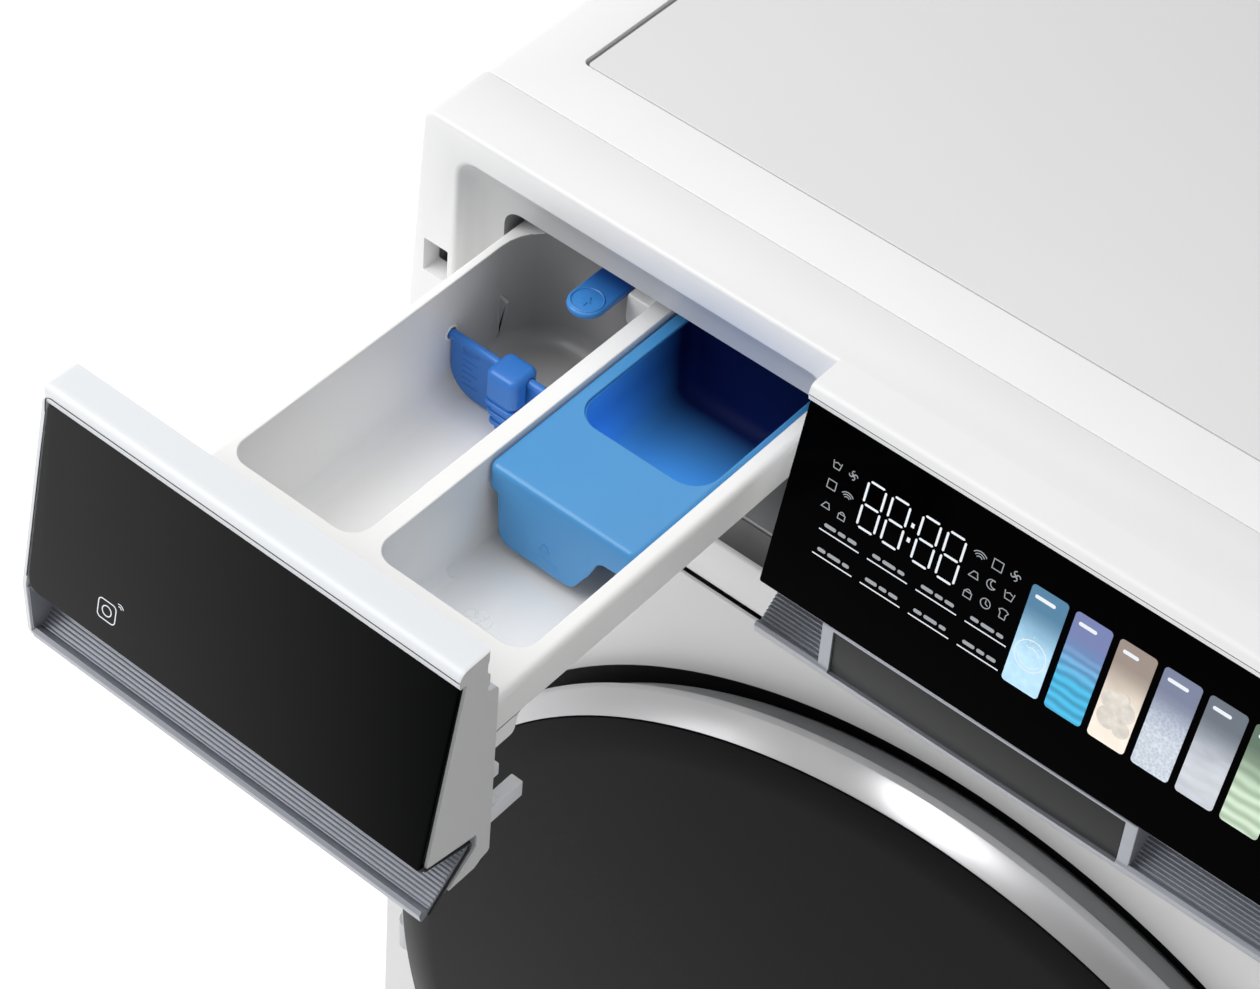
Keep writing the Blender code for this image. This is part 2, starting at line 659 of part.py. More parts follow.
def drum_shell():
    shell = lathe([(192, DRUM_FRONT), (246, DRUM_FRONT), (DRUM_R, DRUM_FRONT + 6), (DRUM_R, DRUM_END),
                   (0, DRUM_END), (0, DRUM_END - 2), (DRUM_R - 2, DRUM_END - 2),
                   (DRUM_R - 2, DRUM_FRONT + 7), (245, DRUM_FRONT + 2), (192, DRUM_FRONT + 2)],
                  AXIS, DRUM_SIDES)
    return name_part(shell, "drum_shell", "stainless", (0, 220, AXIS_Z))


def lifter(index):
    """A paddle on the drum's inner wall, a third of a turn from the next."""
    angle = math.radians(90 + 120 * index)
    wall = (DRUM_R - 2) * math.cos(math.pi / DRUM_SIDES) - 0.6
    section = [(-24, wall - 2.2), (-10, wall - 30), (-4, wall - 36), (4, wall - 36), (10, wall - 30),
               (24, wall - 2.2)]
    points = []
    for y in (110, 350):
        for across, out in section:
            points.append((out * math.cos(angle) - across * math.sin(angle), y,
                           AXIS_Z + out * math.sin(angle) + across * math.cos(angle)))
    count = len(section)
    sides = [(i, (i + 1) % count, (i + 1) % count + count, i + count) for i in range(count)]
    shape = solid(points, [tuple(range(count)), tuple(range(count, 2 * count))] + sides)
    return name_part(shape, f"lifter_{index + 1}", "white_plastic", (0, 220, AXIS_Z))


def drum_spider():
    hub = lathe([(0, DRUM_END + GAP), (32, DRUM_END + GAP), (32, 386), (SHAFT_R, 390), (SHAFT_R, 466),
                 (0, 466)], AXIS, 20)
    for index in range(3):
        angle = math.radians(30 + 120 * index)
        ends = []
        for out, half, deep in ((10, 16, 388), (244, 11, 380)):
            for across in (-half, half):
                for y in (DRUM_END + GAP, deep):
                    ends.append((out * math.cos(angle) - across * math.sin(angle), y,
                                 AXIS_Z + out * math.sin(angle) + across * math.cos(angle)))
        faces = [(0, 1, 3, 2), (4, 5, 7, 6), (0, 1, 5, 4), (2, 3, 7, 6), (0, 2, 6, 4), (1, 3, 7, 5)]
        join(hub, solid(ends, faces))
    return name_part(hub, "drum_spider", "steel", (0, 380, AXIS_Z))


def heater():
    z = AXIS_Z - 258.4
    route = [(-30, 64, z), (-30, 200, z), (-30, 318, z), (-22, 328, z), (0, 332, z), (22, 328, z),
             (30, 318, z), (30, 200, z), (30, 64, z)]
    return name_part(tube(route, 3.0), "heater", "steel")


def door_gasket():
    bellows = lathe([(MOUTH_R - 0.8, 11), (MOUTH_R - 0.8, 25), (178, 34), (MOUTH_R - 0.8, 43),
                     (MOUTH_R - 0.8, 57), (MOUTH_R - 4, 57), (MOUTH_R - 4, 45), (174.5, 34),
                     (MOUTH_R - 4, 23), (MOUTH_R - 4, 11)], AXIS, TUB_SIDES)
    return name_part(bellows, "door_gasket", "rubber")


def dispenser_bellows():
    profile = [(14, 648.3), (19, 648.3)]
    for i in range(5):
        profile += [(19, 655 + 11 * i), (16.5, 659.5 + 11 * i)]
    profile += [(19, 714.7), (14, 714.7)]
    return name_part(lathe(profile, SPOUT, 12, "Z"), "dispenser_bellows", "rubber")


def damper(side, name):
    place = (side * DAMPER[0], DAMPER[1])
    body = lathe([(0, 36.3), (12, 36.3), (12, 118), (6, 118), (6, 44), (0, 44)], place, 12, "Z")
    name_part(body, f"damper_body_{name}", "dark_plastic")
    bar = lathe([(0, 66), (5.4, 66), (5.4, 158), (9, 160), (9, 165.7), (0, 165.7)], place, 12, "Z")
    name_part(bar, f"damper_rod_{name}", "steel")


def spring(side, name):
    x, y, low, high = side * SPRING[0], SPRING[1], SPRING[2], SPRING[3]
    turns, per_turn, radius = 6, 7, 9.0
    steps = turns * per_turn
    route = [(x, y, low + 1.8), (x + radius * 0.5, y, low + 8)]
    for i in range(steps + 1):
        angle = 2 * math.pi * i / per_turn
        z = low + 16 + (high - low - 32) * i / steps
        route.append((x + radius * math.cos(angle), y + radius * math.sin(angle), z))
    route += [(x + radius * 0.5, y, high - 8), (x, y, high - 1.8)]
    return name_part(tube(route, 1.6, 4), f"spring_{name}", "steel")


# ---------------------------------------------------------------- door


def knuckle_notches():
    x, y = HINGE
    return [box(x - 20, x + 12, y - 12, 20, low - 1, high + 1) for low, high in KNUCKLES]


def door_ring():
    ring = lathe([(GLASS_R + 0.4, RING_FRONT), (RING_OUT - 0.4, -16.4), (RING_OUT, -15.6),
                  (RING_OUT, RING_BACK), (235, RING_BACK), (235, -24.6), (GLASS_R + 0.4, -24.6)],
                 AXIS, DOOR_SIDES)
    cut(ring, *knuckle_notches())
    x, y = HINGE
    cut(ring, rod(x, y, 0, 3.4, "Z", 350, 467, 12))
    return name_part(ring, "door_ring", "silver_ring", (x, y, AXIS_Z))


def door_glass():
    dome = [(GLASS_R * i / 3, RING_FRONT - 6.0 * (1 - (i / 3) ** 2)) for i in range(4)]
    back = [(GLASS_R, -25.0), (GLASS_R * 0.6, -28.6), (0, -31.0)]
    x, y = HINGE
    glass = lathe(dome + back, AXIS, DOOR_SIDES)
    return name_part(glass, "door_glass", "black_glass", (x, y, AXIS_Z))


def door_frame():
    frame = lathe([(262, -12.2), (262, 2), (258, 6), (171.5, 6), (171.5, -12.2)], AXIS, DOOR_SIDES)
    cut(frame, *knuckle_notches())
    x, y = HOOK
    cut(frame, box(x - 9, x + 9, y - 7.5, 10, 401, 416))
    x, y = HINGE
    return name_part(frame, "door_frame", "grey_plastic", (x, y, AXIS_Z))


def door_bowl():
    bowl = lathe([(0, 112), (95, 108), (128, 96), (142, 70), (158, 8.5), (170.4, 8.5), (170.4, -12),
                  (166.5, -12), (166.5, 4.5), (155, 4.5), (138, 69), (125, 92), (94, 103.5), (0, 107)],
                 AXIS, 28)
    x, y = HINGE
    return name_part(bowl, "door_bowl", "clear_glass", (x, y, AXIS_Z))


def hinge_pin():
    x, y = HINGE
    pin = rod(x, y, 0, 3.0, "Z", 352, 465, 12)
    return name_part(pin, "hinge_pin", "steel", (x, y, AXIS_Z))


def hinge_bracket():
    x, y = HINGE
    plate = box(x + 4, x + 24, DISH_FLOOR - 2.3, DISH_FLOOR - GAP, 354, 463)
    for low, high in KNUCKLES:
        join(plate, box(x + 2, x + 10, y + 2, DISH_FLOOR - 1, low, high))
        join(plate, rod(x, y, 0, 6.0, "Z", low, high, 16))
    cut(plate, rod(x, y, 0, 3.4, "Z", 340, 480, 12))
    return name_part(plate, "hinge_bracket", "steel")


def latch_hook():
    x, y = HOOK
    hook = box(x - 3, x + 3, y - 5.5, 27, 402.2, 414.8)
    join(hook, prism([(x + 2, 20), (x + 7.5, 20), (x + 2, 26.5)], "Z", 402.2, 414.8))
    return name_part(hook, "latch_hook", "steel", (x, y, AXIS_Z))


def door_lock():
    x = HOOK[0]
    lock = box(x - 16, x + 22, DISH_FLOOR + SHEET + GAP, 33, 380, 437)
    cut(lock, box(x - 10, x + 13, 5, 30, 399, 418))
    return name_part(lock, "door_lock", "dark_plastic")


# ---------------------------------------------------------------- drawer


def drawer_front():
    back = -0.5 - DRAWER_OPEN
    outline = slid(front_outline(-3.5, -0.5), DRAWER_OPEN)
    outline += [(back, 826.0), (back - 2.6, 826.0), (back - 2.6, 829.0), (back - 1.4, 830.0),
                (back - 1.4, 836.0), (back - 3.0, 837.0), (back - 3.0, 848.4)]
    body = prism(outline, "X", FRONT_LEFT, FRONT_RIGHT)
    join(body, prism(slid(cap_outline(-3.5), DRAWER_OPEN), "X", FRONT_LEFT, FRONT_LEFT + CAP_THICK))
    hollow = slid([(1, 843), (-9, 843), behind(834, 7), behind(764, 7), (-4.5, 762), (1, 762)],
                  DRAWER_OPEN)
    cut(body, prism(hollow, "X", FRONT_LEFT + 4, TRAY_LEFT - 1))
    inner = slid([(-3.5, 828), behind(828, 7), behind(766, 7), (-3.5, 766)], DRAWER_OPEN)
    cut(body, prism(inner, "X", TRAY_LEFT + 6, TRAY_RIGHT - 6))
    cut(body, prism(slid([(5, 828), (-4, 828), (-4, 812), (5, 812)], DRAWER_OPEN),
                    "X", TRAY_LEFT + 6, TRAY_RIGHT - 6))
    for x0, x1, z0, z1, reach in (*SIDE_CLIPS, CATCH):
        join(body, box(x0, x1, back - 1, back + reach, z0, z1))
    return name_part(body, "drawer_front", "white_plastic", (0, -DRAWER_OPEN, 800))


def drawer_glass():
    shape = prism(slid(glass_outline(), DRAWER_OPEN), "X", FRONT_LEFT + 2.2, FRONT_RIGHT - 1.2)
    return name_part(shape, "drawer_glass", "black_glass", (0, -DRAWER_OPEN, 800))


def drawer_trim():
    shape = prism(slid(trough_outline(), DRAWER_OPEN), "X", FRONT_LEFT + 3.5, FRONT_RIGHT - 0.6)
    return name_part(shape, "drawer_trim", "satin_trim", (0, -DRAWER_OPEN, 800))


def cell_cutter(x0, x1, y0, y1, z0, radius):
    return prism(rounded(x0, x1, y0 - DRAWER_OPEN, y1 - DRAWER_OPEN, radius, 3), "Z", z0, 850)


def soft_cutter(y0, y1, radius):
    """The right cell, whose right wall leans in below a bend."""
    x0, x1 = SOFT_CELL
    y0, y1 = y0 - DRAWER_OPEN, y1 - DRAWER_OPEN
    wide = rounded(x0, x1, y0, y1, radius, 3)
    return loft([(SOFT_FLOOR, rounded(x0, SOFT_LOW_RIGHT, y0, y1, radius, 3)), (SOFT_BEND, wide),
                 (850, wide)])


def drawer_tray():
    back = TRAY_END - DRAWER_OPEN
    front = -0.2 - DRAWER_OPEN
    right, low = SOFT_CELL[1] + 3, SOFT_FLOOR - 2.5
    section = [(TRAY_LEFT, TRAY_TOP), (TRAY_LEFT, TRAY_BOTTOM), (MAIN_CELL[1] + 3, TRAY_BOTTOM),
               (MAIN_CELL[1] + 5, low), (SOFT_LOW_RIGHT + 1.5, low), (right, SOFT_BEND - 0.2),
               (right, TRAY_TOP)]
    tray = prism(section, "Y", front, back)
    skirt = [(SOFT_CELL[1] + 2, TRAY_TOP), (-105.5, TRAY_TOP), (-103.2, TRAY_TOP - 1.6),
             (TRAY_RIGHT, TRAY_TOP - 5), (TRAY_RIGHT, TRAY_TOP - 15), (TRAY_RIGHT - 2, TRAY_TOP - 15),
             (TRAY_RIGHT - 2, TRAY_TOP - 6), (SOFT_CELL[1] + 2, TRAY_TOP - 3.5)]
    join(tray, prism(skirt, "Y", front, back))
    join(tray, box(TRAY_RIGHT - 5, TRAY_RIGHT - 0.4, front, front + 27, TRAY_TOP - 27, TRAY_TOP - 6))
    cut(tray, cell_cutter(*MAIN_CELL, CELL_FRONT, CELL_END, TRAY_FLOOR, 9))
    cut(tray, soft_cutter(CELL_FRONT, CELL_FRONT + 60, 9),
        soft_cutter(CELL_FRONT + 40, CELL_END + 3, 1.2))
    cut(tray, box(TRAY_LEFT + 6, SOFT_LOW_RIGHT - 0.5, front - 2, front + 31, TRAY_BOTTOM - 5,
                  TRAY_TOP - 3))
    y = 184 - DRAWER_OPEN
    join(tray, prism([(MAIN_CELL[0] - 1, TRAY_TOP - 27), (MAIN_CELL[0] + 4, TRAY_TOP - 27),
                      (MAIN_CELL[0] - 1, TRAY_TOP - 50)], "Y", y, y + 2))
    join(tray, box(-199, MAIN_CELL[1] + 1, 18, CELL_END + 1 - DRAWER_OPEN, 785, TRAY_TOP - 5))
    pocket = box(-217, -200, CELL_END - 1 - DRAWER_OPEN, TRAY_END + 1 - DRAWER_OPEN, 796, 830)
    cut(tray, pocket)
    for x in (MAIN_CELL[0] - 1.5, MAIN_CELL[1] + 1.5):
        cut(tray, rod(0, FLAP_Y - DRAWER_OPEN, FLAP_PIVOT, 2.4, "X", x - 2, x + 2, 12))
    return name_part(tray, "drawer_tray", "white_plastic", (0, -DRAWER_OPEN, 800))


def release_tab():
    y, z = TAB_PIVOT
    y -= DRAWER_OPEN
    outline = [(-216.4, y + 6), (-216.4, y - 20)]
    centre, radius = -208.5, 7.9
    outline += [(centre - radius * math.cos(math.radians(a)), y - 20 - radius * math.sin(math.radians(a)))
                for a in range(20, 180, 20)]
    outline += [(-200.6, y - 20), (-200.6, y + 6)]
    tab = prism(outline, "Z", z - 1.5, z + 1.5)
    return name_part(tab, "release_tab", "deep_blue", (centre, y, z))


def detergent_flap():
    y = FLAP_Y - DRAWER_OPEN
    x0, x1 = MAIN_CELL[0] + 0.8, MAIN_CELL[1] - 0.8
    low = TRAY_FLOOR + 1.5
    plate = prism([(x0, FLAP_PIVOT + 2), (x0, low + 13.5), (x0 + 4, low + 4.5), (x0 + 14, low),
                   (x1 - 14, low), (x1 - 4, low + 4.5), (x1, low + 13.5), (x1, FLAP_PIVOT + 2)],
                  "Y", y - 1.0, y + 1.0)
    join(plate, rod(0, y, FLAP_PIVOT, 2.0, "X", MAIN_CELL[0] - 1.2, MAIN_CELL[1] + 1.2, 12))
    return name_part(plate, "detergent_flap", "deep_blue", ((x0 + x1) / 2, y, FLAP_PIVOT))


def flap_grip():
    y = FLAP_Y - DRAWER_OPEN
    centre = -216.5
    grip = box(centre - 7.5, centre + 7.5, y - 9.5, y + 5.5, 769, 783.5)
    for i, half in enumerate((6.4, 5.6, 5.0)):
        z = 767.5 - 5.2 * i
        front = y - 10 + i * 0.6
        join(grip, box(centre - half + 0.8, centre + half - 0.8, front + 1.4, y - 1.6, z - 4.5, z + 2.5))
        join(grip, box(centre - half - 1, centre + half + 1, front, y - 1.4, z - 1.6, z + 0.4))
    cut(grip, box(centre - 20, centre + 20, y - 1.3, y + 1.3, 700, 779.2))
    cut(grip, rod(0, y, FLAP_PIVOT, 2.3, "X", centre - 20, centre + 20, 12))
    cut(grip, box(centre - 20, centre + 20, y - 2.3, y + 2.3, 765, FLAP_PIVOT))
    return name_part(grip, "flap_grip", "deep_blue", (centre, y, FLAP_PIVOT))


def softener_insert():
    x0, x1 = SOFT_CELL[0] + 0.4, SOFT_CELL[1] - 0.4
    y0, y1 = INSERT_FRONT - DRAWER_OPEN, CELL_END + 2.4 - DRAWER_OPEN
    shell = box(x0, x1, y0, y1, 770, INSERT_TOP)
    cut(shell, box(x0 + 1.6, x1 - 1.6, y0 + 1.8, y1 - 1.6, 700, INSERT_TOP - 2))
    lobe = prism([(-172, 773), (-169, 768), (-166, 767), (-139.5, 767), (-135.4, 769.2), (-132.5, 773)],
                 "Y", y0, y0 + 1.8)
    join(shell, lobe)
    arch = [(-135, 740), (-135, 769.8), (-131.1, 776), (-127.9, 783), (-124.5, 787.8), (-120.4, 789.8),
            (x1 + 1, 790), (x1 + 1, 740)]
    cut(shell, box(x0 - 1, -172, y0 - 1, y0 + 10, 740, 791.5), prism(arch, "Y", y0 - 1, y0 + 5))
    cut(shell, box(-124, x1 + 1, y0 - 1, y1 + 1, 740, 788))
    front, back = 134 - DRAWER_OPEN, CELL_END - 2 - DRAWER_OPEN
    wide = rounded(x0 + 5, x1 - 2.5, front, back, 11, 3)
    join(shell, loft([(765, rounded(x0 + 6, -129.5, front + 2, back - 1, 10, 3)), (788, wide),
                      (INSERT_TOP - 0.5, wide)]))
    wide = rounded(x0 + 6.6, x1 - 4.1, front + 1.6, back - 1.6, 10, 3)
    cut(shell, loft([(766.8, rounded(x0 + 7.6, -131.2, front + 3.6, back - 2.6, 9, 3)), (788, wide),
                     (INSERT_TOP + 5, wide)]))
    return name_part(shell, "softener_insert", "light_blue", (0, y0, INSERT_TOP))


def build():
    clear_scene()
    for make in (cabinet_shell, base_tray, front_panel, console_body, worktop_frame, worktop_sheet,
                 panel_glass, panel_trim, trim_plate, display_board, dispenser_housing, inlet_valve,
                 fill_hose, mains_gland, rear_cover, drain_pump, filter_cap, service_flap, sump_hose,
                 drain_hose, tub_front, tub_rear, counterweight_front, motor_stator,
                 motor_rotor, drum_bearing, drum_shell, drum_spider, heater, door_gasket, dispenser_bellows,
                 door_ring, door_glass, door_frame, door_bowl, hinge_pin, hinge_bracket, latch_hook,
                 door_lock, drawer_front, drawer_glass, drawer_trim, drawer_tray, release_tab,
                 detergent_flap, flap_grip, softener_insert):
        make()
    for index in range(len(FEET)):
        foot(index)
    for index in range(3):
        lifter(index)
    for side, name in ((-1, "left"), (1, "right")):
        damper(side, name)
        spring(side, name)


build()
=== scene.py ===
"""Front load washing machine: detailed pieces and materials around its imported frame.

Lengths are in millimetres: X from the centre line to the right, Y from the bay's face to the back
and Z up from the floor. The detergent drawer is open by DRAWER_OPEN.
"""
import math

import bmesh
import bpy
from mathutils import Matrix, Vector


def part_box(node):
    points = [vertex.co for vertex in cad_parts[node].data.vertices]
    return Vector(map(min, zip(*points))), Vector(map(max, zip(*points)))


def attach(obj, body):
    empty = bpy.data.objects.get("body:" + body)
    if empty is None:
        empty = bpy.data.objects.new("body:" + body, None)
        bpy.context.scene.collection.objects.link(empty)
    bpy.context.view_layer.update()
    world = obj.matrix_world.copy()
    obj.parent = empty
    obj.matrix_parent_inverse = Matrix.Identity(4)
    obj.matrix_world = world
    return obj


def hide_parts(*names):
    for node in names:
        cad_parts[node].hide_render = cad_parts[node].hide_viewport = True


MM = 0.001
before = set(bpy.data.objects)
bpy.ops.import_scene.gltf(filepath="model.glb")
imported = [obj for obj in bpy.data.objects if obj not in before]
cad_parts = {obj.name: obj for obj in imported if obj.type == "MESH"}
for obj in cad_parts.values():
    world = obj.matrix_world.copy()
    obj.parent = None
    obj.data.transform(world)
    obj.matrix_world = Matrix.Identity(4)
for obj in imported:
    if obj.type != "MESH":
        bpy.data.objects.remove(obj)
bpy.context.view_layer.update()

# The back sheet's outer face lies this far behind the bay's face
SHELL_BACK = 498.0
FACE_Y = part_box("cabinet_shell")[1].y - SHELL_BACK * MM


def span(node):
    """A node's box in millimetres: two x, two y and two z values."""
    low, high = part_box(node)
    return (low.x / MM, high.x / MM, (low.y - FACE_Y) / MM, (high.y - FACE_Y) / MM,
            low.z / MM, high.z / MM)


# Cabinet and console
HEIGHT = span("worktop_frame")[5]
STRIP_DEPTH = 33.0
CONSOLE_BOTTOM = span("console_body")[4]
TOP_BOTTOM = span("worktop_frame")[4]
PANEL_LEFT = -93.0
PANEL_RIGHT = 287.5
FRONT_LEFT = span("drawer_front")[0]
FRONT_RIGHT = -94.4
CAP_THICK = 1.7

# Sloping front: (y, z) with the drawer shut
SEAM = (-16.9, 846.9)
GLASS_TOP = (-16.2, 842.4)
GLASS_BOTTOM = (-32.8, 760.2)
GLASS_THICK = 3.0
TROUGH_APEX = (-6.0, 752.0)
LIP = (-30.6, 730.4)
FRONT_FLOOR = 735.5
SLOPE_LENGTH = math.dist(GLASS_TOP, GLASS_BOTTOM)

# Drawer, shut
DRAWER_OPEN = 184.0
TRAY = span("drawer_tray")
TRAY_TOP = TRAY[5]
TRAY_FLOOR = 750.0
SOFT_FLOOR = 761.0
SOFT_LOW_RIGHT = -125.0
SOFT_BEND = 784.0
MAIN_CELL = (-249.0, -187.0, 34.0, 208.0)
SOFT_CELL = (-179.0, -109.5, 34.0, 208.0)
POST = (-200.5, 201.0 - DRAWER_OPEN, 784.0)
OPENING = (-255.0, -99.5, 733.5, 816.5)
RECESS = (-272.5, -97.0, 723.0, 835.3)
RECESS_DEPTH = 8.0
SIDE_CLIPS = ((-101.0, -95.6, 751.0, 759.0, 22.5), (-101.0, -97.5, 772.0, 778.0, 11.0))
CATCH = (-286.0, -277.5, 771.0, 782.0, 15.0)
FLANGE = (-98.2, FRONT_RIGHT, 4.2)
FASCIA_BACK = -0.5 - DRAWER_OPEN
PIVOT_Y = 156.0 - DRAWER_OPEN
PIVOT_Z = 779.0
ICON_PLACE = (-246.5, 774.5)
ICON_LINE = 0.34

# Door and drum
AXIS_Z = (span("door_ring")[4] + span("door_ring")[5]) / 2
AXIS = (0.0, AXIS_Z)
RING_OUT = 272.0
GLASS_R = 265.0
DISH_R = 273.4
DISH_FLOOR = 10.0
MOUTH_R = 185.0
PANEL_FACE = -2.0
HINGE = (-266.0, -19.0)
KNUCKLES = ((356.0, 374.0), (443.0, 461.0))
HOOK = (224.0, -2.0)
HOOK_SLOT = (HOOK[0] - 10, HOOK[0] + 13, DISH_FLOOR - 3, 16, 400, 417)
TURN_SIDES = 192


# ---------------------------------------------------------------- shapes


def place(point):
    x, y, z = point
    return Vector((x * MM, FACE_Y + y * MM, z * MM))


def solid(points, faces):
    mesh = bpy.data.meshes.new("shape")
    shape = bmesh.new()
    verts = [shape.verts.new(place(p)) for p in points]
    for face in faces:
        shape.faces.new([verts[i] for i in face])
    bmesh.ops.recalc_face_normals(shape, faces=shape.faces)
    shape.to_mesh(mesh)
    shape.free()
    made = bpy.data.objects.new("shape", mesh)
    bpy.context.scene.collection.objects.link(made)
    return made


def across(axis, pair, distance):
    a, b = pair
    return {"X": (distance, a, b), "Y": (a, distance, b), "Z": (a, b, distance)}[axis]


def quarter(radius, steps):
    """(rise, inset) pairs of a quarter circle that leads from a floor into its wall."""
    turns = [math.radians(90 * step / steps) for step in range(steps + 1)]
    return [(radius * (1 - math.cos(t)), radius * (1 - math.sin(t))) for t in turns]


def skin(rings):
    """Closed rings of points joined one to the next, with both ends capped."""
    count = len(rings[0])
    points = [p for ring in rings for p in ring]
    faces = [tuple(range(count)), tuple(range(len(points) - count, len(points)))]
    for r in range(len(rings) - 1):
        for i in range(count):
            j = (i + 1) % count
            faces.append((r * count + i, r * count + j, (r + 1) * count + j, (r + 1) * count + i))
    return solid(points, faces)


def stack(levels):
    """Flat outlines of (x, y), each with its height, skinned from one to the next."""
    return skin([[(x, y, z) for x, y in outline] for z, outline in levels])


def filleted(corners, steps=6):
    """An outline whose corners (a, b, radius) are rounded by arcs; a corner may leave out its radius."""
    outline = []
    for i, corner in enumerate(corners):
        here = Vector(corner[:2])
        radius = corner[2] if len(corner) > 2 else 0
        if not radius:
            outline.append(tuple(here))
            continue
        back = (Vector(corners[i - 1][:2]) - here).normalized()
        ahead = (Vector(corners[(i + 1) % len(corners)][:2]) - here).normalized()
        half = back.angle(ahead) / 2
        centre = here + (back + ahead).normalized() * radius / math.sin(half)
        start = here + back * radius / math.tan(half) - centre
        end = here + ahead * radius / math.tan(half) - centre
        turn = math.atan2(start.x * end.y - start.y * end.x, start.dot(end))
        for k in range(steps + 1):
            angle = turn * k / steps
            spot = Vector((start.x * math.cos(angle) - start.y * math.sin(angle),
                           start.x * math.sin(angle) + start.y * math.cos(angle)))
            outline.append(tuple(centre + spot))
    return outline


def block(x0, x1, z0, z1, radius=0, steps=6):
    """A rectangle's outline with four equal round corners."""
    return filleted([(x1, z1, radius), (x0, z1, radius), (x0, z0, radius), (x1, z0, radius)], steps)


def round_rim(made, axis, at, width, steps):
    """Round the edges of a prism's end that lies at a place along its axis."""
    index = "XYZ".index(axis)
    level = place(across(axis, (0, 0), at))[index]
    shape = bmesh.new()
    shape.from_mesh(made.data)
    rim = [edge for edge in shape.edges if all(abs(v.co[index] - level) < 1e-7 for v in edge.verts)]
    bmesh.ops.bevel(shape, geom=rim, offset=width * MM, segments=steps, profile=0.5, affect="EDGES",
                    clamp_overlap=True)
    shape.to_mesh(made.data)
    shape.free()


def prism(outline, axis, start, end, start_rim=0.0, end_rim=0.0, steps=3):
    """A flat outline pushed along an axis, with the rims of its two ends rounded."""
    made = skin([[across(axis, p, at) for p in outline] for at in (start, end)])
    for at, width in ((start, start_rim), (end, end_rim)):
        if width:
            round_rim(made, axis, at, width, steps)
    return made


def box(x0, x1, y0, y1, z0, z1):
    return prism([(x0, y0), (x1, y0), (x1, y1), (x0, y1)], "Z", z0, z1)


def rod(x, y, z, radius, axis, start, end, sides=32, rim=0.0):
    centre = {"X": (y, z), "Y": (x, z), "Z": (x, y)}[axis]
    turn = 2 * math.pi / sides
    ring = [(centre[0] + radius * math.cos(turn * i), centre[1] + radius * math.sin(turn * i))
            for i in range(sides)]
    return prism(ring, axis, start, end, rim, rim)


def lathe(profile, centre=AXIS, sides=TURN_SIDES, axis="Y"):
    """Turn a closed profile of (radius, distance); points at radius 0 become poles."""
    points = []
    rows = []
    for radius, distance in profile:
        if radius == 0:
            rows.append([len(points)] * sides)
            points.append(across(axis, centre, distance))
            continue
        rows.append([len(points) + i for i in range(sides)])
        for i in range(sides):
            angle = 2 * math.pi * i / sides
            spot = (centre[0] + radius * math.cos(angle), centre[1] + radius * math.sin(angle))
            points.append(across(axis, spot, distance))
    faces = []
    for here, there in zip(rows, rows[1:] + rows[:1]):
        for i in range(sides):
            j = (i + 1) % sides
            corners = [here[i], here[j], there[j], there[i]]
            face = [c for k, c in enumerate(corners) if c != corners[k - 1]]
            if len(set(face)) > 2:
                faces.append(tuple(face))
    return solid(points, faces)


def tube(route, radius, sides=12):
    """A round bar along a route of points."""
    path = [Vector(p) for p in route]
    rings = []
    side = None
    for i, here in enumerate(path):
        ahead = (path[min(i + 1, len(path) - 1)] - path[max(i - 1, 0)]).normalized()
        if side is None:
            side = ahead.orthogonal().normalized()
        side = (side - ahead * side.dot(ahead)).normalized()
        up = ahead.cross(side)
        turn = 2 * math.pi / sides
        rings.append([tuple(here + (side * math.cos(turn * k) + up * math.sin(turn * k)) * radius)
                      for k in range(sides)])
    return skin(rings)


def combine(base, others, operation):
    for other in others:
        change = base.modifiers.new("combine", "BOOLEAN")
        change.operation = operation
        change.solver = "EXACT"
        change.object = other
        bpy.context.view_layer.update()
        graph = bpy.context.evaluated_depsgraph_get()
        result = bpy.data.meshes.new_from_object(base.evaluated_get(graph))
        base.modifiers.clear()
        base.data = result
        bpy.data.objects.remove(other, do_unlink=True)
    return base


def cut(base, *others):
    return combine(base, others, "DIFFERENCE")


def join(base, *others):
    return combine(base, others, "UNION")


def merge(base, *others):
    """Put several closed shapes in one object without touching their surfaces."""
    shape = bmesh.new()
    for item in (base, *others):
        shape.from_mesh(item.data)
    shape.to_mesh(base.data)
    shape.free()
    for other in others:
        bpy.data.objects.remove(other, do_unlink=True)
    return base


def round_edges(item, width, steps=3):
    change = item.modifiers.new("round_edges", "BEVEL")
    change.width = width * MM
    change.segments = steps
    change.limit_method = "ANGLE"
    change.angle_limit = math.radians(32)
    change.use_clamp_overlap = False
    change.harden_normals = True
    change.miter_outer = "MITER_ARC"


def piece(item, name, material, body, replaces=(), edge=0.0, steps=3, smooth=32.0):
    """Name a finished piece, give it its material and let it ride on its body."""
    item.name = name
    item.data.name = name
    item.data.materials.clear()
    item.data.materials.append(material)
    clean = bmesh.new()
    clean.from_mesh(item.data)
    bmesh.ops.remove_doubles(clean, verts=clean.verts, dist=1e-6)
    clean.to_mesh(item.data)
    clean.free()
    item.data.shade_smooth()
    item.data.set_sharp_from_angle(angle=math.radians(smooth))
    if edge:
        round_edges(item, edge, steps)
    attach(item, body)
    if replaces:
        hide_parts(*replaces)
    return item


def carry(node, material, edge):
    """A frame node that stays as it is, with its edges eased and a proper material."""
    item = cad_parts[node]
    for slot in item.material_slots:
        slot.material = material
    round_edges(item, edge, 2)


# ---------------------------------------------------------------- materials


def wire(material, output, socket):
    material.node_tree.links.new(output, socket)


def inputs_of(material):
    return material.node_tree.nodes["Principled BSDF"].inputs


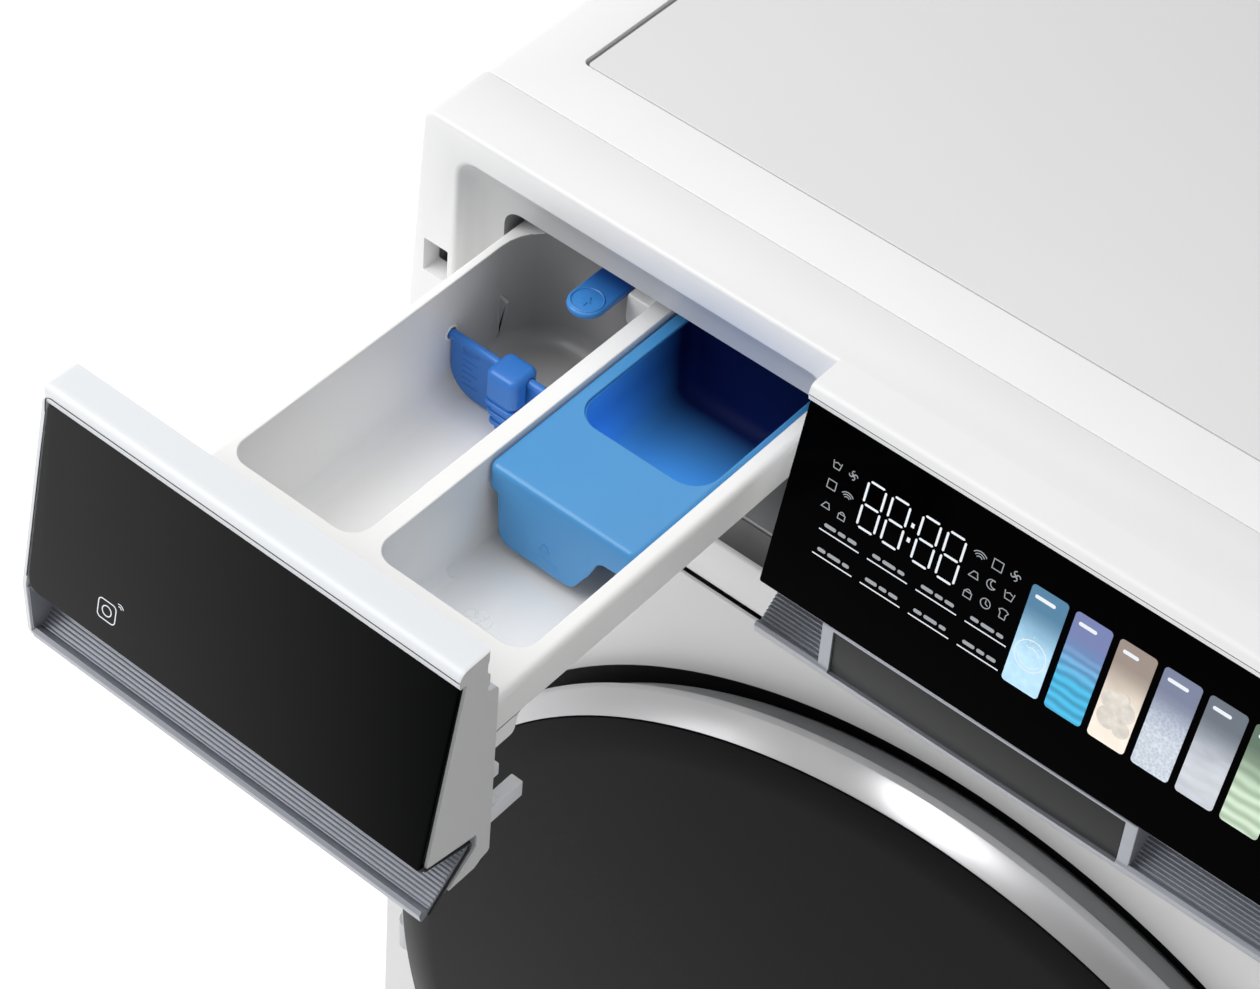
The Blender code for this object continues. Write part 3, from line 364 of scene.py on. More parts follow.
def surface(name, colour, roughness, metallic=0.0, coat=0.0, specular=0.5):
    """A Principled material with its fixed values on its own sockets."""
    made = bpy.data.materials.new(name)
    made.use_nodes = True
    values = {"Base Color": (*colour, 1.0), "Roughness": roughness, "Metallic": metallic,
              "Coat Weight": coat, "Coat Roughness": 0.08, "Specular IOR Level": specular}
    for socket, value in values.items():
        inputs_of(made)[socket].default_value = value
    return made


def object_coords(material):
    return material.node_tree.nodes.new("ShaderNodeTexCoord").outputs["Object"]


def position_of(material):
    """The three coordinates of a point in the object's own space, in metres."""
    parts = material.node_tree.nodes.new("ShaderNodeSeparateXYZ")
    wire(material, object_coords(material), parts.inputs["Vector"])
    return parts.outputs


def map_range(material, value, given, made=(0.0, 1.0), curve="LINEAR"):
    """A value that goes through one range turned into one that goes through another."""
    node = material.node_tree.nodes.new("ShaderNodeMapRange")
    node.interpolation_type = curve
    for socket, number in zip(("From Min", "From Max", "To Min", "To Max"), (*given, *made)):
        node.inputs[socket].default_value = number
    wire(material, value, node.inputs["Value"])
    return node.outputs["Result"]


def two_tones(material, factor, first, last, ends=(0.0, 1.0)):
    """A colour that runs from first to last while the factor goes from one end to the other."""
    ramp = material.node_tree.nodes.new("ShaderNodeValToRGB")
    for element, colour, end in zip(ramp.color_ramp.elements, (first, last), ends):
        element.color = (*colour, 1)
        element.position = end
    wire(material, factor, ramp.inputs["Fac"])
    return ramp.outputs["Color"]


def relief(material, height, strength, depth):
    """A relief of a given depth in millimetres."""
    bump = material.node_tree.nodes.new("ShaderNodeBump")
    bump.inputs["Strength"].default_value = strength
    bump.inputs["Distance"].default_value = depth * MM
    wire(material, height, bump.inputs["Height"])
    wire(material, bump.outputs["Normal"], inputs_of(material)["Normal"])
    return material


def stretched(material, texture, stretch):
    """Lay a texture in the object's own space, stretched along its axes."""
    mapping = material.node_tree.nodes.new("ShaderNodeMapping")
    mapping.inputs["Scale"].default_value = stretch
    wire(material, object_coords(material), mapping.inputs["Vector"])
    wire(material, mapping.outputs["Vector"], texture.inputs["Vector"])


def noise_of(material, scale, stretch=(1, 1, 1)):
    """Noise with a number of features per metre."""
    noise = material.node_tree.nodes.new("ShaderNodeTexNoise")
    noise.inputs["Scale"].default_value = scale
    noise.inputs["Detail"].default_value = 2.0
    stretched(material, noise, stretch)
    return noise.outputs["Fac"]


def mottle(material, amount, scale, stretch=(1, 1, 1)):
    """Vary the base colour a little around its value."""
    base = inputs_of(material)["Base Color"]
    darker, lighter = [[min(1, c * part) for c in base.default_value[:3]]
                       for part in (1 - amount, 1 + amount)]
    noise = noise_of(material, scale, stretch)
    wire(material, two_tones(material, noise, darker, lighter, (0.15, 0.85)), base)
    return material


def vary_gloss(material, low, high, scale, stretch=(1, 1, 1)):
    gloss = map_range(material, noise_of(material, scale, stretch), (0.1, 0.9), (low, high))
    wire(material, gloss, inputs_of(material)["Roughness"])
    return material


def grain(material, scale, strength, depth=0.05, stretch=(1, 1, 1)):
    """A fine relief of a given depth in millimetres."""
    return relief(material, noise_of(material, scale, stretch), strength, depth)


def fade(material, axis, start, end, first, last):
    """Let the base colour run from first to last along an axis, between two places in millimetres."""
    shift = FACE_Y if axis == "Y" else 0.0
    way = map_range(material, position_of(material)[axis], (start * MM + shift, end * MM + shift))
    wire(material, two_tones(material, way, first, last), inputs_of(material)["Base Color"])
    return material


def painted_glow(material, floor_glow, wall_glow, low, high):
    """Painted light: the colour glows, more at its floor (low) than up its walls (high), in place of light
    through the thin plastic.
    """
    height = position_of(material)["Z"]
    strength = map_range(material, height, (low * MM, high * MM), (floor_glow, wall_glow))
    shader = inputs_of(material)
    wire(material, strength, shader["Emission Strength"])
    wire(material, shader["Base Color"].links[0].from_socket, shader["Emission Color"])
    return material


def moulded(name, colour, roughness=0.38, coat=0.0, specular=0.5):
    """Injection moulded plastic: an almost even colour with a fine spark-eroded grain."""
    made = surface(name, colour, roughness, coat=coat, specular=specular)
    mottle(made, 0.012, 25)
    vary_gloss(made, roughness - 0.015, roughness + 0.02, 40)
    return grain(made, 2600, 0.03, 0.01)


def enamel(name, colour):
    """Baked enamel on sheet steel with its faint orange peel."""
    made = surface(name, colour, 0.32, coat=0.15)
    mottle(made, 0.01, 8)
    vary_gloss(made, 0.30, 0.34, 20)
    return grain(made, 420, 0.04, 0.02)


def metal(name, colour, roughness, stretch=(1, 1, 1), scale=300, metallic=1.0):
    made = surface(name, colour, roughness, metallic=metallic)
    mottle(made, 0.05, scale, stretch)
    vary_gloss(made, roughness - 0.05, roughness + 0.08, scale, stretch)
    return grain(made, scale * 3, 0.15, 0.01, stretch)


def satin(name, colour):
    """Fine bead-blasted metal: even, with a grain too small to see from afar."""
    made = surface(name, colour, 0.30, metallic=1.0)
    mottle(made, 0.015, 4000)
    vary_gloss(made, 0.28, 0.33, 40)
    return grain(made, 9000, 0.10, 0.004)


def drum_metal():
    """Polished steel pressed with rings of round holes, drawn in the drum's own cylinder."""
    steel = (0.62, 0.63, 0.64)
    columns_round, row_pitch = 90, 17.5 * MM
    made = surface("drum_steel", steel, 0.22, metallic=1.0)
    place_of = position_of(made)

    def calculate(operation, *values):
        node = made.node_tree.nodes.new("ShaderNodeMath")
        node.operation = operation
        for socket, value in zip(node.inputs, values):
            if isinstance(value, (int, float)):
                socket.default_value = value
            else:
                wire(made, value, socket)
        return node.outputs[0]

    height = calculate("SUBTRACT", place_of["Z"], AXIS_Z * MM)
    angle = calculate("ARCTAN2", height, place_of["X"])
    columns = calculate("MULTIPLY", angle, columns_round / (2 * math.pi))
    rows = calculate("DIVIDE", place_of["Y"], row_pitch)
    half_step = calculate("MULTIPLY", calculate("FLOORED_MODULO", calculate("FLOOR", rows), 2.0), 0.5)
    across_hole = calculate("SUBTRACT", calculate("FRACT", calculate("ADD", columns, half_step)), 0.5)
    along_hole = calculate("SUBTRACT", calculate("FRACT", rows), 0.5)
    distance = calculate("SQRT", calculate("ADD", calculate("MULTIPLY", across_hole, across_hole),
                                           calculate("MULTIPLY", along_hole, along_hole)))
    hole = map_range(made, distance, (0.10, 0.13), curve="SMOOTHSTEP")
    dish = map_range(made, distance, (0.08, 0.34), curve="SMOOTHSTEP")
    wire(made, two_tones(made, hole, (0.01, 0.01, 0.01), steel), inputs_of(made)["Base Color"])
    return relief(made, dish, 0.8, 1.2)


def clear_glass():
    made = surface("bowl_glass", (0.93, 0.97, 0.96), 0.03)
    inputs_of(made)["Transmission Weight"].default_value = 1.0
    inputs_of(made)["IOR"].default_value = 1.47
    return grain(made, 40, 0.05, 0.1)


def glow(material, colour, strength):
    inputs_of(material)["Emission Color"].default_value = (*colour, 1)
    inputs_of(material)["Emission Strength"].default_value = strength
    return material


def glowing(name, colour, strength):
    return glow(surface(name, (0.02, 0.02, 0.02), 0.4), colour, strength)


TOP_WHITE = moulded("top_white", (0.85, 0.85, 0.85), 0.36, coat=0.05)
CONSOLE_WHITE = moulded("console_white", (0.83, 0.83, 0.83), 0.38)
# Painted shade: the fascia's white runs to grey over its right end face, which faces away from the light.
FASCIA_WHITE_SHADED_END = fade(moulded("fascia_white_shaded_end", (0.74, 0.76, 0.785), 0.34), "X",
                    FRONT_RIGHT - 1.2, FRONT_RIGHT - 0.1, (0.74, 0.76, 0.785), (0.64, 0.64, 0.64))
# Painted shade: a copy of the console white that darkens with depth inside the bay's recess.
RECESS_PAINTED_SHADE = fade(moulded("recess_painted_shade", (0.83, 0.83, 0.83), 0.38), "Y", 0.6, RECESS_DEPTH - 1,
                    (0.83, 0.83, 0.83), (0.52, 0.52, 0.52))
# Painted shadow: the recess's deep lower faces under the tray, darkening towards the right.
RECESS_PAINTED_SHADOW = fade(moulded("recess_painted_shadow", (0.4, 0.4, 0.4), 0.38, specular=0.2), "X", -240, -125,
                   (0.50, 0.50, 0.50), (0.13, 0.13, 0.13))
TRAY_WHITE = moulded("tray_white", (0.92, 0.915, 0.905), 0.34)
# Painted shade: a copy of the tray white that darkens towards the rear of the left cell.
TRAY_SHADED = fade(moulded("tray_shaded", (0.92, 0.915, 0.905), 0.34), "Y", -42, 15,
                   (0.92, 0.915, 0.905), (0.34, 0.335, 0.33))
SHEET_WHITE = enamel("worktop_enamel", (0.72, 0.72, 0.72))
PANEL_WHITE = enamel("front_enamel", (0.74, 0.74, 0.74))
SHELL_WHITE = enamel("side_enamel", (0.78, 0.79, 0.80))
# Painted reflection: the black glass runs from a faint grey at its left end to black at its right.
DRAWER_GLASS_PAINTED_REFLECTION = fade(surface("drawer_black_glass_painted_reflection", (0.01, 0.01, 0.01), 0.10, specular=0.02),
                    "X", FRONT_LEFT, FRONT_RIGHT, (0.036, 0.036, 0.037), (0.0006, 0.0008, 0.0008))
PANEL_GLASS = grain(surface("panel_black_glass", (0.0004, 0.0004, 0.0005), 0.10, specular=0.01), 20, 0.02)
DOOR_GLASS = mottle(surface("door_black_glass", (0.0075, 0.0075, 0.0075), 0.12, specular=0.05), 0.15, 3000)
TRIM = metal("satin_trim", (0.38, 0.395, 0.435), 0.30, (0.05, 1, 1), 900, 0.6)
RING_SILVER = satin("ring_silver", (0.62, 0.62, 0.63))
DARK = moulded("dark_plastic", (0.020, 0.021, 0.023), 0.42)
PLATE_DARK = moulded("plate_dark", (0.028, 0.0285, 0.029), 0.35, specular=0.15)
GREY = moulded("grey_plastic", (0.42, 0.43, 0.44), 0.45)
LIGHT_BLUE = moulded("insert_blue", (0.066, 0.30, 0.63), 0.30, coat=0.05)
# Painted shade and light in the insert's well: blue at the front going to near black at the rear, with a
# painted glow strongest at its floor.
WELL_BLUE_PAINTED_SHADE_GLOW = painted_glow(fade(moulded("well_blue_painted_shade_glow", (0.02, 0.1, 0.5), 0.6, specular=0.1), "Y", -36, 16,
                             (0.085, 0.42, 1.0), (0.002, 0.006, 0.045)), 0.30, 0.04, 767, 790)
DEEP_BLUE = moulded("flap_blue", (0.028, 0.19, 0.62), 0.32, coat=0.1)
# Painted shade: the tab darkens from its tip towards its base, which lies under the console.
TAB_BLUE_SHADED_BASE = fade(moulded("tab_blue_shaded_base", (0.05, 0.27, 0.72), 0.32, coat=0.1), "Y", 4, 22,
                (0.055, 0.28, 0.72), (0.008, 0.06, 0.34))
RUBBER = moulded("grey_rubber", (0.17, 0.175, 0.18), 0.62)
BLACK_RUBBER = moulded("black_rubber", (0.008, 0.008, 0.009), 0.55)
STEEL = metal("zinc_steel", (0.48, 0.49, 0.50), 0.34)
CASTING = grain(mottle(surface("rough_casting", (0.11, 0.11, 0.115), 0.8, metallic=0.3), 0.2, 60),
                300, 0.6, 0.4)
CIRCUIT = mottle(surface("circuit_green", (0.02, 0.14, 0.06), 0.4), 0.3, 200)
COPPER = metal("copper_winding", (0.55, 0.22, 0.10), 0.35, (1, 12, 1), 120)
DRUM_STEEL = drum_metal()
BOWL_GLASS = clear_glass()
PRINT_WHITE = glowing("print_white", (0.9, 0.95, 1.0), 0.9)
COTTON = grain(mottle(surface("cotton_white", (0.78, 0.73, 0.66), 0.8), 0.22, 260), 420, 0.9, 0.4)
DIM_WHITE = glowing("dim_white", (0.75, 0.80, 0.85), 0.42)


# ---------------------------------------------------------------- sloping front


def behind(z, depth):
    """(y, z) of the point at a height, set back from the sloping glass."""
    slope = (GLASS_BOTTOM[0] - GLASS_TOP[0]) / (GLASS_BOTTOM[1] - GLASS_TOP[1])
    return GLASS_TOP[0] + slope * (z - GLASS_TOP[1]) + depth * math.hypot(1, slope), z


def on_slope(x, down, out, shift=0.0):
    """A point by its distance down the glass from its top edge and its height off the glass."""
    dy = (GLASS_BOTTOM[0] - GLASS_TOP[0]) / SLOPE_LENGTH
    dz = (GLASS_BOTTOM[1] - GLASS_TOP[1]) / SLOPE_LENGTH
    return x, GLASS_TOP[0] + dy * down + dz * out - shift, GLASS_TOP[1] + dz * down - dy * out


def slab(outline, low, high, shift=0.0, rim=0.0):
    """A flat outline of (x, distance down the glass) thickened off the glass from low to high."""
    rings = [[on_slope(x, down, low, shift) for x, down in outline]]
    if rim:
        centre_x = sum(p[0] for p in outline) / len(outline)
        centre_d = sum(p[1] for p in outline) / len(outline)
        half_x = max(abs(p[0] - centre_x) for p in outline)
        half_d = max(abs(p[1] - centre_d) for p in outline)
        for inset, drop in quarter(rim, 3):
            rings.append([on_slope(centre_x + (x - centre_x) * (1 - inset / half_x),
                                   centre_d + (d - centre_d) * (1 - inset / half_d), high - drop, shift)
                          for x, d in outline])
    else:
        rings.append([on_slope(x, down, high, shift) for x, down in outline])
    return skin(rings)


def front_corners(back_top, back_low, brow=2.6):
    """The corners of the sloping front's side view: top, seam groove, glass seat, trough seat and foot."""
    seat = GLASS_THICK + 0.3
    apex_y, apex_z = TROUGH_APEX
    rear = [(back_top, HEIGHT)]
    if back_top > 3:
        rear = [(back_top, HEIGHT - 0.6), (2.0, HEIGHT - 0.6), (1.8, HEIGHT)]
    return [
        *rear, (-15.6, HEIGHT, brow), (SEAM[0], SEAM[1] - 0.9, 0.9),
        (GLASS_TOP[0] - 0.1, GLASS_TOP[1] + 0.4, 0.3),
        behind(GLASS_TOP[1] + 0.4, seat), behind(GLASS_BOTTOM[1] - 0.3, seat),
        (apex_y + 2.5, apex_z + 2.2, 1.5), (apex_y + 2.5, apex_z - 4.4, 1.5),
        (LIP[0] + 12.9, FRONT_FLOOR + 0.4), (LIP[0] + 13.3, FRONT_FLOOR), (-4.0, FRONT_FLOOR, 2.0),
        (-1.5, FRONT_FLOOR + 1.4, 0.8), (back_low, FRONT_FLOOR + 5.0)]


def slid(outline):
    """Outline points or corners of (y, z) moved forward by the drawer's opening."""
    return [(y - DRAWER_OPEN, *rest) for y, *rest in outline]


def cap_outline(back, brow=2.6):
    """The side view of the thin end cap around glass and trough."""
    level = HEIGHT - 0.04
    return filleted([(back, level, 0), (-15.6, level, brow), (SEAM[0], SEAM[1] - 0.9, 0.9),
                     (GLASS_TOP[0] - 0.3, GLASS_TOP[1], 0.6), (*GLASS_BOTTOM, 3.0),
                     (LIP[0] - 1.6, LIP[1] + 4.5, 1.2), (LIP[0] - 0.2, LIP[1] + 0.2, 1.0),
                     (LIP[0] + 13.3, FRONT_FLOOR - 0.8, 2.0),
                     (-4.0, FRONT_FLOOR + 0.05, 2.0), (back, FRONT_FLOOR + 3.0, 0)], 5)


def trough_outline(ribs=16):
    """The finger trough's section: upper leg, apex, ribbed lower leg and rolled lip."""
    apex_y, apex_z = TROUGH_APEX
    glass_y, glass_z = GLASS_BOTTOM
    top = Vector((apex_y - 2.4, apex_z - 0.9))
    low = Vector((LIP[0] + 3.2, LIP[1] + 3.4))
    along = low - top
    lift = Vector((along.y, -along.x)).normalized()
    outline = [(glass_y + 0.6, glass_z - 0.7), (apex_y - 2.6, apex_z), (apex_y - 2.2, apex_z - 0.5)]
    for i in range(ribs):
        for part, height in ((0.10, 0.0), (0.28, 0.7), (0.42, 1.0), (0.58, 1.0), (0.72, 0.7), (0.90, 0.0)):
            spot = top + along * ((i + part) / ribs) + lift * height
            outline.append(tuple(spot))
    outline += filleted([(LIP[0] - 0.4, LIP[1] + 5.6, 0.9), (LIP[0] - 1.5, LIP[1] + 4.4, 0.5),
                         (LIP[0] - 0.6, LIP[1] - 0.2, 1.0), (LIP[0] + 11.8, FRONT_FLOOR, 0.5),
                         (apex_y + 1.9, apex_z - 3.8, 1.0), (apex_y + 1.9, apex_z + 1.4, 0.8),
                         (glass_y + 3.4, glass_z - 1.2, 0)], 4)
    return outline


# ---------------------------------------------------------------- worktop and console


def side_profile(low, spread):
    """Front view of console and worktop: tapering sides and rounded shoulders."""
    left = [(-spread, low, 0)]
    left += [(-x, z, 0) for x, z in ((297.2, 700.0), (295.7, 751.0), (293.4, 794.0)) if z > low]
    left += [(-291.3, 834.0, 14), (-290.4, HEIGHT, 5.5)]
    right = [(-x, z, r) for x, z, r in left[::-1]]
    return filleted(left + right, 6)


def funnel(front, front_y, back, back_y, radius):
    outer = block(*front, radius)
    inner = block(*back, radius)
    return skin([[(x, front_y, z) for x, z in outer], [(x, back_y, z) for x, z in inner]])


def bay_funnel():
    """The recess around the drawer: a rounded lip, then a hollow that flattens towards the cut-out."""
    lip, corner = 1.8, 9
    x0, x1, z0, z1 = RECESS
    rings = [(x0 - lip, x1 + lip, z0 - lip, z1 + lip, -0.5)]
    rings += [(x0 - grow, x1 + grow, z0 - grow, z1 + grow, depth) for depth, grow in quarter(lip, 3)]
    for part, depth in ((0.10, 4.4), (0.24, 5.9), (0.45, 7.0), (0.72, 7.8), (1.0, RECESS_DEPTH)):
        rings.append((*[a + (b - a) * part for a, b in zip(RECESS, OPENING)], depth))
    return skin([[(x, y, z) for x, z in block(a, b, c, d, corner, 8)]
                 for a, b, c, d, y in rings])


def centre_of(face):
    """The middle of a face in millimetres."""
    x, y, z = face.center / MM
    return x, y - FACE_Y / MM, z


def shade_recess(body):
    """Paint shade into the bay's recess: its faces darken with depth, and deep faces low down get a painted
    shadow.
    """
    body.data.materials.append(RECESS_PAINTED_SHADE)
    body.data.materials.append(RECESS_PAINTED_SHADOW)
    x0, x1, z0, z1 = RECESS
    for face in body.data.polygons:
        x, y, z = centre_of(face)
        if x0 - 2 < x < x1 + 1 and z0 - 2 < z < z1 + 2 and 0.3 < y < RECESS_DEPTH + 0.6:
            # Faces past the lip, low down and right of x -245, get the painted shadow; the rest get the
            # painted shade.
            rear = x > -245 and z < 800 and y > 1.9
            face.material_index = 2 if rear else 1


def console():
    body = prism(side_profile(CONSOLE_BOTTOM, 297.3), "Y", 0, STRIP_DEPTH, 1.6, 0.35)
    front = filleted(front_corners(STRIP_DEPTH - 5, STRIP_DEPTH - 5), 5)
    join(body, prism(front, "X", PANEL_LEFT, PANEL_RIGHT - 0.3))
    join(body, prism(cap_outline(1.0), "X", PANEL_RIGHT - CAP_THICK, PANEL_RIGHT))
    cavity = [(60, HEIGHT - 3.5), (-8, HEIGHT - 3.9), behind(GLASS_TOP[1], 7),
              behind(GLASS_BOTTOM[1] + 3, 7), (TROUGH_APEX[0] + 9, TROUGH_APEX[1] + 8),
              (TROUGH_APEX[0] + 9, 690), (60, 690)]
    cut(body, prism(cavity, "X", PANEL_LEFT + 3, PANEL_RIGHT - 3),
        box(-290, PANEL_LEFT, RECESS_DEPTH + 0.5, 60, 690, HEIGHT - 3),
        bay_funnel(),
        prism(block(*OPENING, 8), "Y", 4, 20))
    for x0, x1, z0, z1, reach in SIDE_CLIPS:
        cut(body, box(x0 - 2, x1 + 0.8, -1, reach + 4, z0 - 2, z1 + 2))
    pin_room = box(-103.0, -94.8, -1, 14, 752, 766)
    cut(body, pin_room,
        box(FLANGE[0] - 0.5, FLANGE[1] + 0.5, -1, FLANGE[2] + 0.8, 734, 831))
    x0, x1, z0, z1, reach = CATCH
    pocket = funnel((x0 - 2.5, x1 + 1.5, z0 - 3, z1 + 3), -1, (x0 - 0.5, x1 + 0.3, z0 - 0.5, z1 + 0.5),
                    reach + 4, 0.6)
    cut(body, pocket)
    piece(body, "console", CONSOLE_WHITE, "cabinet", ["console_body"], smooth=36)
    shade_recess(body)


def catch_ribs():
    """Three small ribs on the catch pocket's inner wall."""
    x1, z0, reach = CATCH[1], CATCH[2], CATCH[4]
    ribs = [prism(block(x1 + 0.2, x1 + 1.2, 2, reach, 0.2, 2), "Z", z0 + 3 * i, z0 + 3 * i + 1.0)
            for i in range(3)]
    piece(merge(*ribs), "catch_ribs", CONSOLE_WHITE, "cabinet")


def worktop():
    profile = side_profile(TOP_BOTTOM, 292.2)
    bar = prism(profile, "Y", STRIP_DEPTH + 0.3, SHELL_BACK, 0.35, 2.5)
    cut(bar, box(-286, 286, 0, SHELL_BACK - 4, TOP_BOTTOM - 5, HEIGHT - 4),
        prism(block(-264.6, 264.6, 62.4, 486.4, 3.0), "Z", HEIGHT - 1.9, HEIGHT + 5))
    piece(bar, "worktop_bar", TOP_WHITE, "cabinet", ["worktop_frame"], 0.35, 2)
    sheet = prism(block(-262.4, 264.0, 63.0, 485.8, 1.6), "Z", HEIGHT - 1.6, HEIGHT - 0.05, 0, 0.35)
    piece(sheet, "worktop_inset", SHEET_WHITE, "cabinet", ["worktop_sheet"])
    seal = prism(block(-264.4, 264.4, 62.6, 486.2, 2.8), "Z", HEIGHT - 1.88, HEIGHT - 1.62)
    piece(seal, "worktop_seal", RUBBER, "cabinet")


def panel_front():
    """Touch glass, and the finger trough with its insert plate."""
    left, right = PANEL_LEFT + 0.6, PANEL_RIGHT - 2.2
    glass = slab(filleted([(left, 0, 0.8), (right, 0, 0.8), (right, SLOPE_LENGTH, 2.5),
                           (left, SLOPE_LENGTH, 0.9)]), -GLASS_THICK, 0, 0, 0.35)
    piece(glass, "touch_glass", PANEL_GLASS, "cabinet", ["panel_glass"], smooth=50)
    trough = prism(trough_outline(), "X", PANEL_LEFT + 0.6, PANEL_RIGHT - 3.5)
    x0, x1 = span("trim_plate")[:2]
    frame_block = filleted([(GLASS_BOTTOM[0] + 0.6, GLASS_BOTTOM[1] - 0.9, 0.6),
                            (TROUGH_APEX[0], TROUGH_APEX[1] - 1, 0), (LIP[0] + 3.0, LIP[1] + 1.0, 0),
                            (LIP[0] - 0.6, LIP[1] + 2.0, 0.8)], 3)
    join(trough, prism(frame_block, "X", x0 - 5.5, x1 + 5.5, 0.8, 0.8))
    seat = [(-40.0, 757.6), (-26.4, 757.6), (-25.4, 734.0), (-40.0, 734.0)]
    cut(trough, prism(seat, "X", x0 - 0.35, x1 + 0.35))
    piece(trough, "panel_trough", TRIM, "cabinet", ["panel_trim"], 0.25, 2, 40)
    face = filleted([(-31.2, 757.2, 0.5), (-26.9, 757.2, 0), (-25.9, 734.3, 0), (-30.2, 734.3, 0.5)], 3)
    piece(prism(face, "X", x0, x1, 0.3, 0.3), "insert_plate", PLATE_DARK, "cabinet", ["trim_plate"],
          smooth=40)


# ---------------------------------------------------------------- graphics on the glass


def stroke(route, width, closed=False):
    """Outlines of the short bars that make up a drawn line."""
    path = [Vector(p) for p in route]
    pairs = list(zip(path, path[1:] + path[:1])) if closed else list(zip(path, path[1:]))
    bars = []
    for a, b in pairs:
        ahead = (b - a).normalized() * width / 2
        side = Vector((-ahead.y, ahead.x))
        a, b = a - ahead * 0.9, b + ahead * 0.9
        bars.append([tuple(a + side), tuple(b + side), tuple(b - side), tuple(a - side)])
    return bars


def arc(x, z, radius, start, end, steps=12):
    turns = [math.radians(start + (end - start) * i / steps) for i in range(steps + 1)]
    return [(x + radius * math.cos(t), z + radius * math.sin(t)) for t in turns]


def printed(outlines, name, material, body="cabinet", shift=0.0, thick=0.1):
    """Flat shapes of (x, height) laid on the glass as one piece."""
    scale = SLOPE_LENGTH / (GLASS_TOP[1] - GLASS_BOTTOM[1])
    shapes = [slab([(x, (GLASS_TOP[1] - z) * scale) for x, z in outline], 0.04, 0.04 + thick, shift)
              for outline in outlines]
    return piece(merge(*shapes), name, material, body)


def segment(x0, z0, x1, z1, width=0.9):
    """A slim six-sided display segment between two points."""
    ahead = Vector((x1 - x0, z1 - z0)).normalized() * width / 2
    side = Vector((-ahead.y, ahead.x))
    a, b = Vector((x0, z0)), Vector((x1, z1))
    return [tuple(p) for p in (a, a + ahead + side, b - ahead + side, b, b - ahead - side, a + ahead - side)]


def digit_display():
    """Four seven-segment figures with a colon."""
    low, high, wide = 806.4, 826.4, 7.6
    middle = (low + high) / 2
    shapes = []
    for x in (-61.0, -50.4, -37.0, -26.2):
        for z in (low, middle, high):
            shapes.append(segment(x + 0.7, z, x + wide - 0.7, z))
        for side in (x, x + wide):
            shapes.append(segment(side, low + 0.7, side, middle - 0.7))
            shapes.append(segment(side, middle + 0.7, side, high - 0.7))
    for z in (middle - 3.2, middle + 3.2):
        shapes.append(block(-40.6, -39.3, z - 0.9, z + 0.9))
    printed(shapes, "display_digits", PRINT_WHITE)


def key_rows():
    """Two rows of four keys: an underline and plain bars where a word would be."""
    lines = []
    words = []
    for row, z in enumerate((796.2, 785.3)):
        for column in range(4):
            x = -74.8 + 21.6 * column
            lines.append(block(x, x + 17.8, z - 0.22, z + 0.22))
            start = x + 1.6
            for length in ((5.2, 3.4, 4.0), (3.6, 5.8, 3.0))[(row + column) % 2]:
                words.append(block(start, start + length, z + 2.0, z + 3.5, 0.7, 3))
                start += length + 0.9
    printed(lines, "key_underlines", PRINT_WHITE)
    printed(words, "key_bars", DIM_WHITE)


def icon(kind, x, z, r):
    """A small line drawing, one of nine plain kinds, that reaches r from its middle."""

    def line(*points, closed=False):
        return stroke([(x + r * a, z + r * b) for a, b in points], ICON_LINE, closed)

    def bow(a, b, radius, start, end, steps, closed=False):
        return stroke(arc(x + r * a, z + r * b, r * radius, start, end, steps), ICON_LINE, closed)

    if kind == "tub":
        return line((-1, 0.6), (-0.7, -1), (0.7, -1), (1, 0.6)) + line((-0.6, 0.2), (0, 0.5), (0.6, 0.2))
    if kind == "square":
        return line((-1, -1), (1, -1), (1, 1), (-1, 1), closed=True)
    if kind == "iron":
        return line((-1, -0.7), (1, -0.7), (0.6, 0.6), (-0.2, 0.6), closed=True)
    if kind == "waves":
        return [bar for radius in (0.675, 1.2, 1.725) for bar in bow(0, -1, radius, 40, 140, 8)]
    if kind == "moon":
        return bow(0, 0, 1, 60, 330, 14) + bow(0.55, 0.25, 0.8, 100, 290, 10)
    if kind == "lock":
        body = line((-0.8, -1), (0.8, -1), (0.8, 0.2), (-0.8, 0.2), closed=True)
        return body + bow(0, 0.2, 0.55, 0, 180, 8)
    if kind == "clock":
        return bow(0, 0, 1, 0, 345, 20, closed=True) + line((0, 0.6), (0, 0), (0.5, -0.3))
    if kind == "fan":
        turns = [(math.radians(t), t) for t in range(0, 360, 90)]
        return [bar for angle, t in turns
                for bar in bow(0.55 * math.cos(angle), 0.55 * math.sin(angle), 0.45, t, t + 250, 8)]
    return line((-1, 0.6), (-0.4, 1), (0.4, 1), (1, 0.6), (0.6, 0), (0.6, -1), (-0.6, -1), (-0.6, 0),
                closed=True)


def icons():
    left = (("tub", "fan"), ("square", "waves"), ("iron", "lock"))
    right = (("waves", "square", "fan"), ("iron", "moon", "tub"), ("lock", "clock", "shirt"))
    bars = []
    for row, kinds in enumerate(left):
        for column, kind in enumerate(kinds):
            bars += icon(kind, -74.8 + 7.2 * column, 824.8 - 9.0 * row - 0.4 * column, 1.8)
    for row, kinds in enumerate(right):
        for column, kind in enumerate(kinds):
            bars += icon(kind, -12.2 + 7.5 * column, 824.4 - 8.5 * row + 0.2 * column, 2.0)
    printed(bars, "panel_icons", DIM_WHITE)
    power = stroke(arc(262, 806, 6.5, 125, 415, 26), 0.7) + stroke([(262, 807), (262, 815)], 0.7)
    printed(power, "power_icon", PRINT_WHITE)


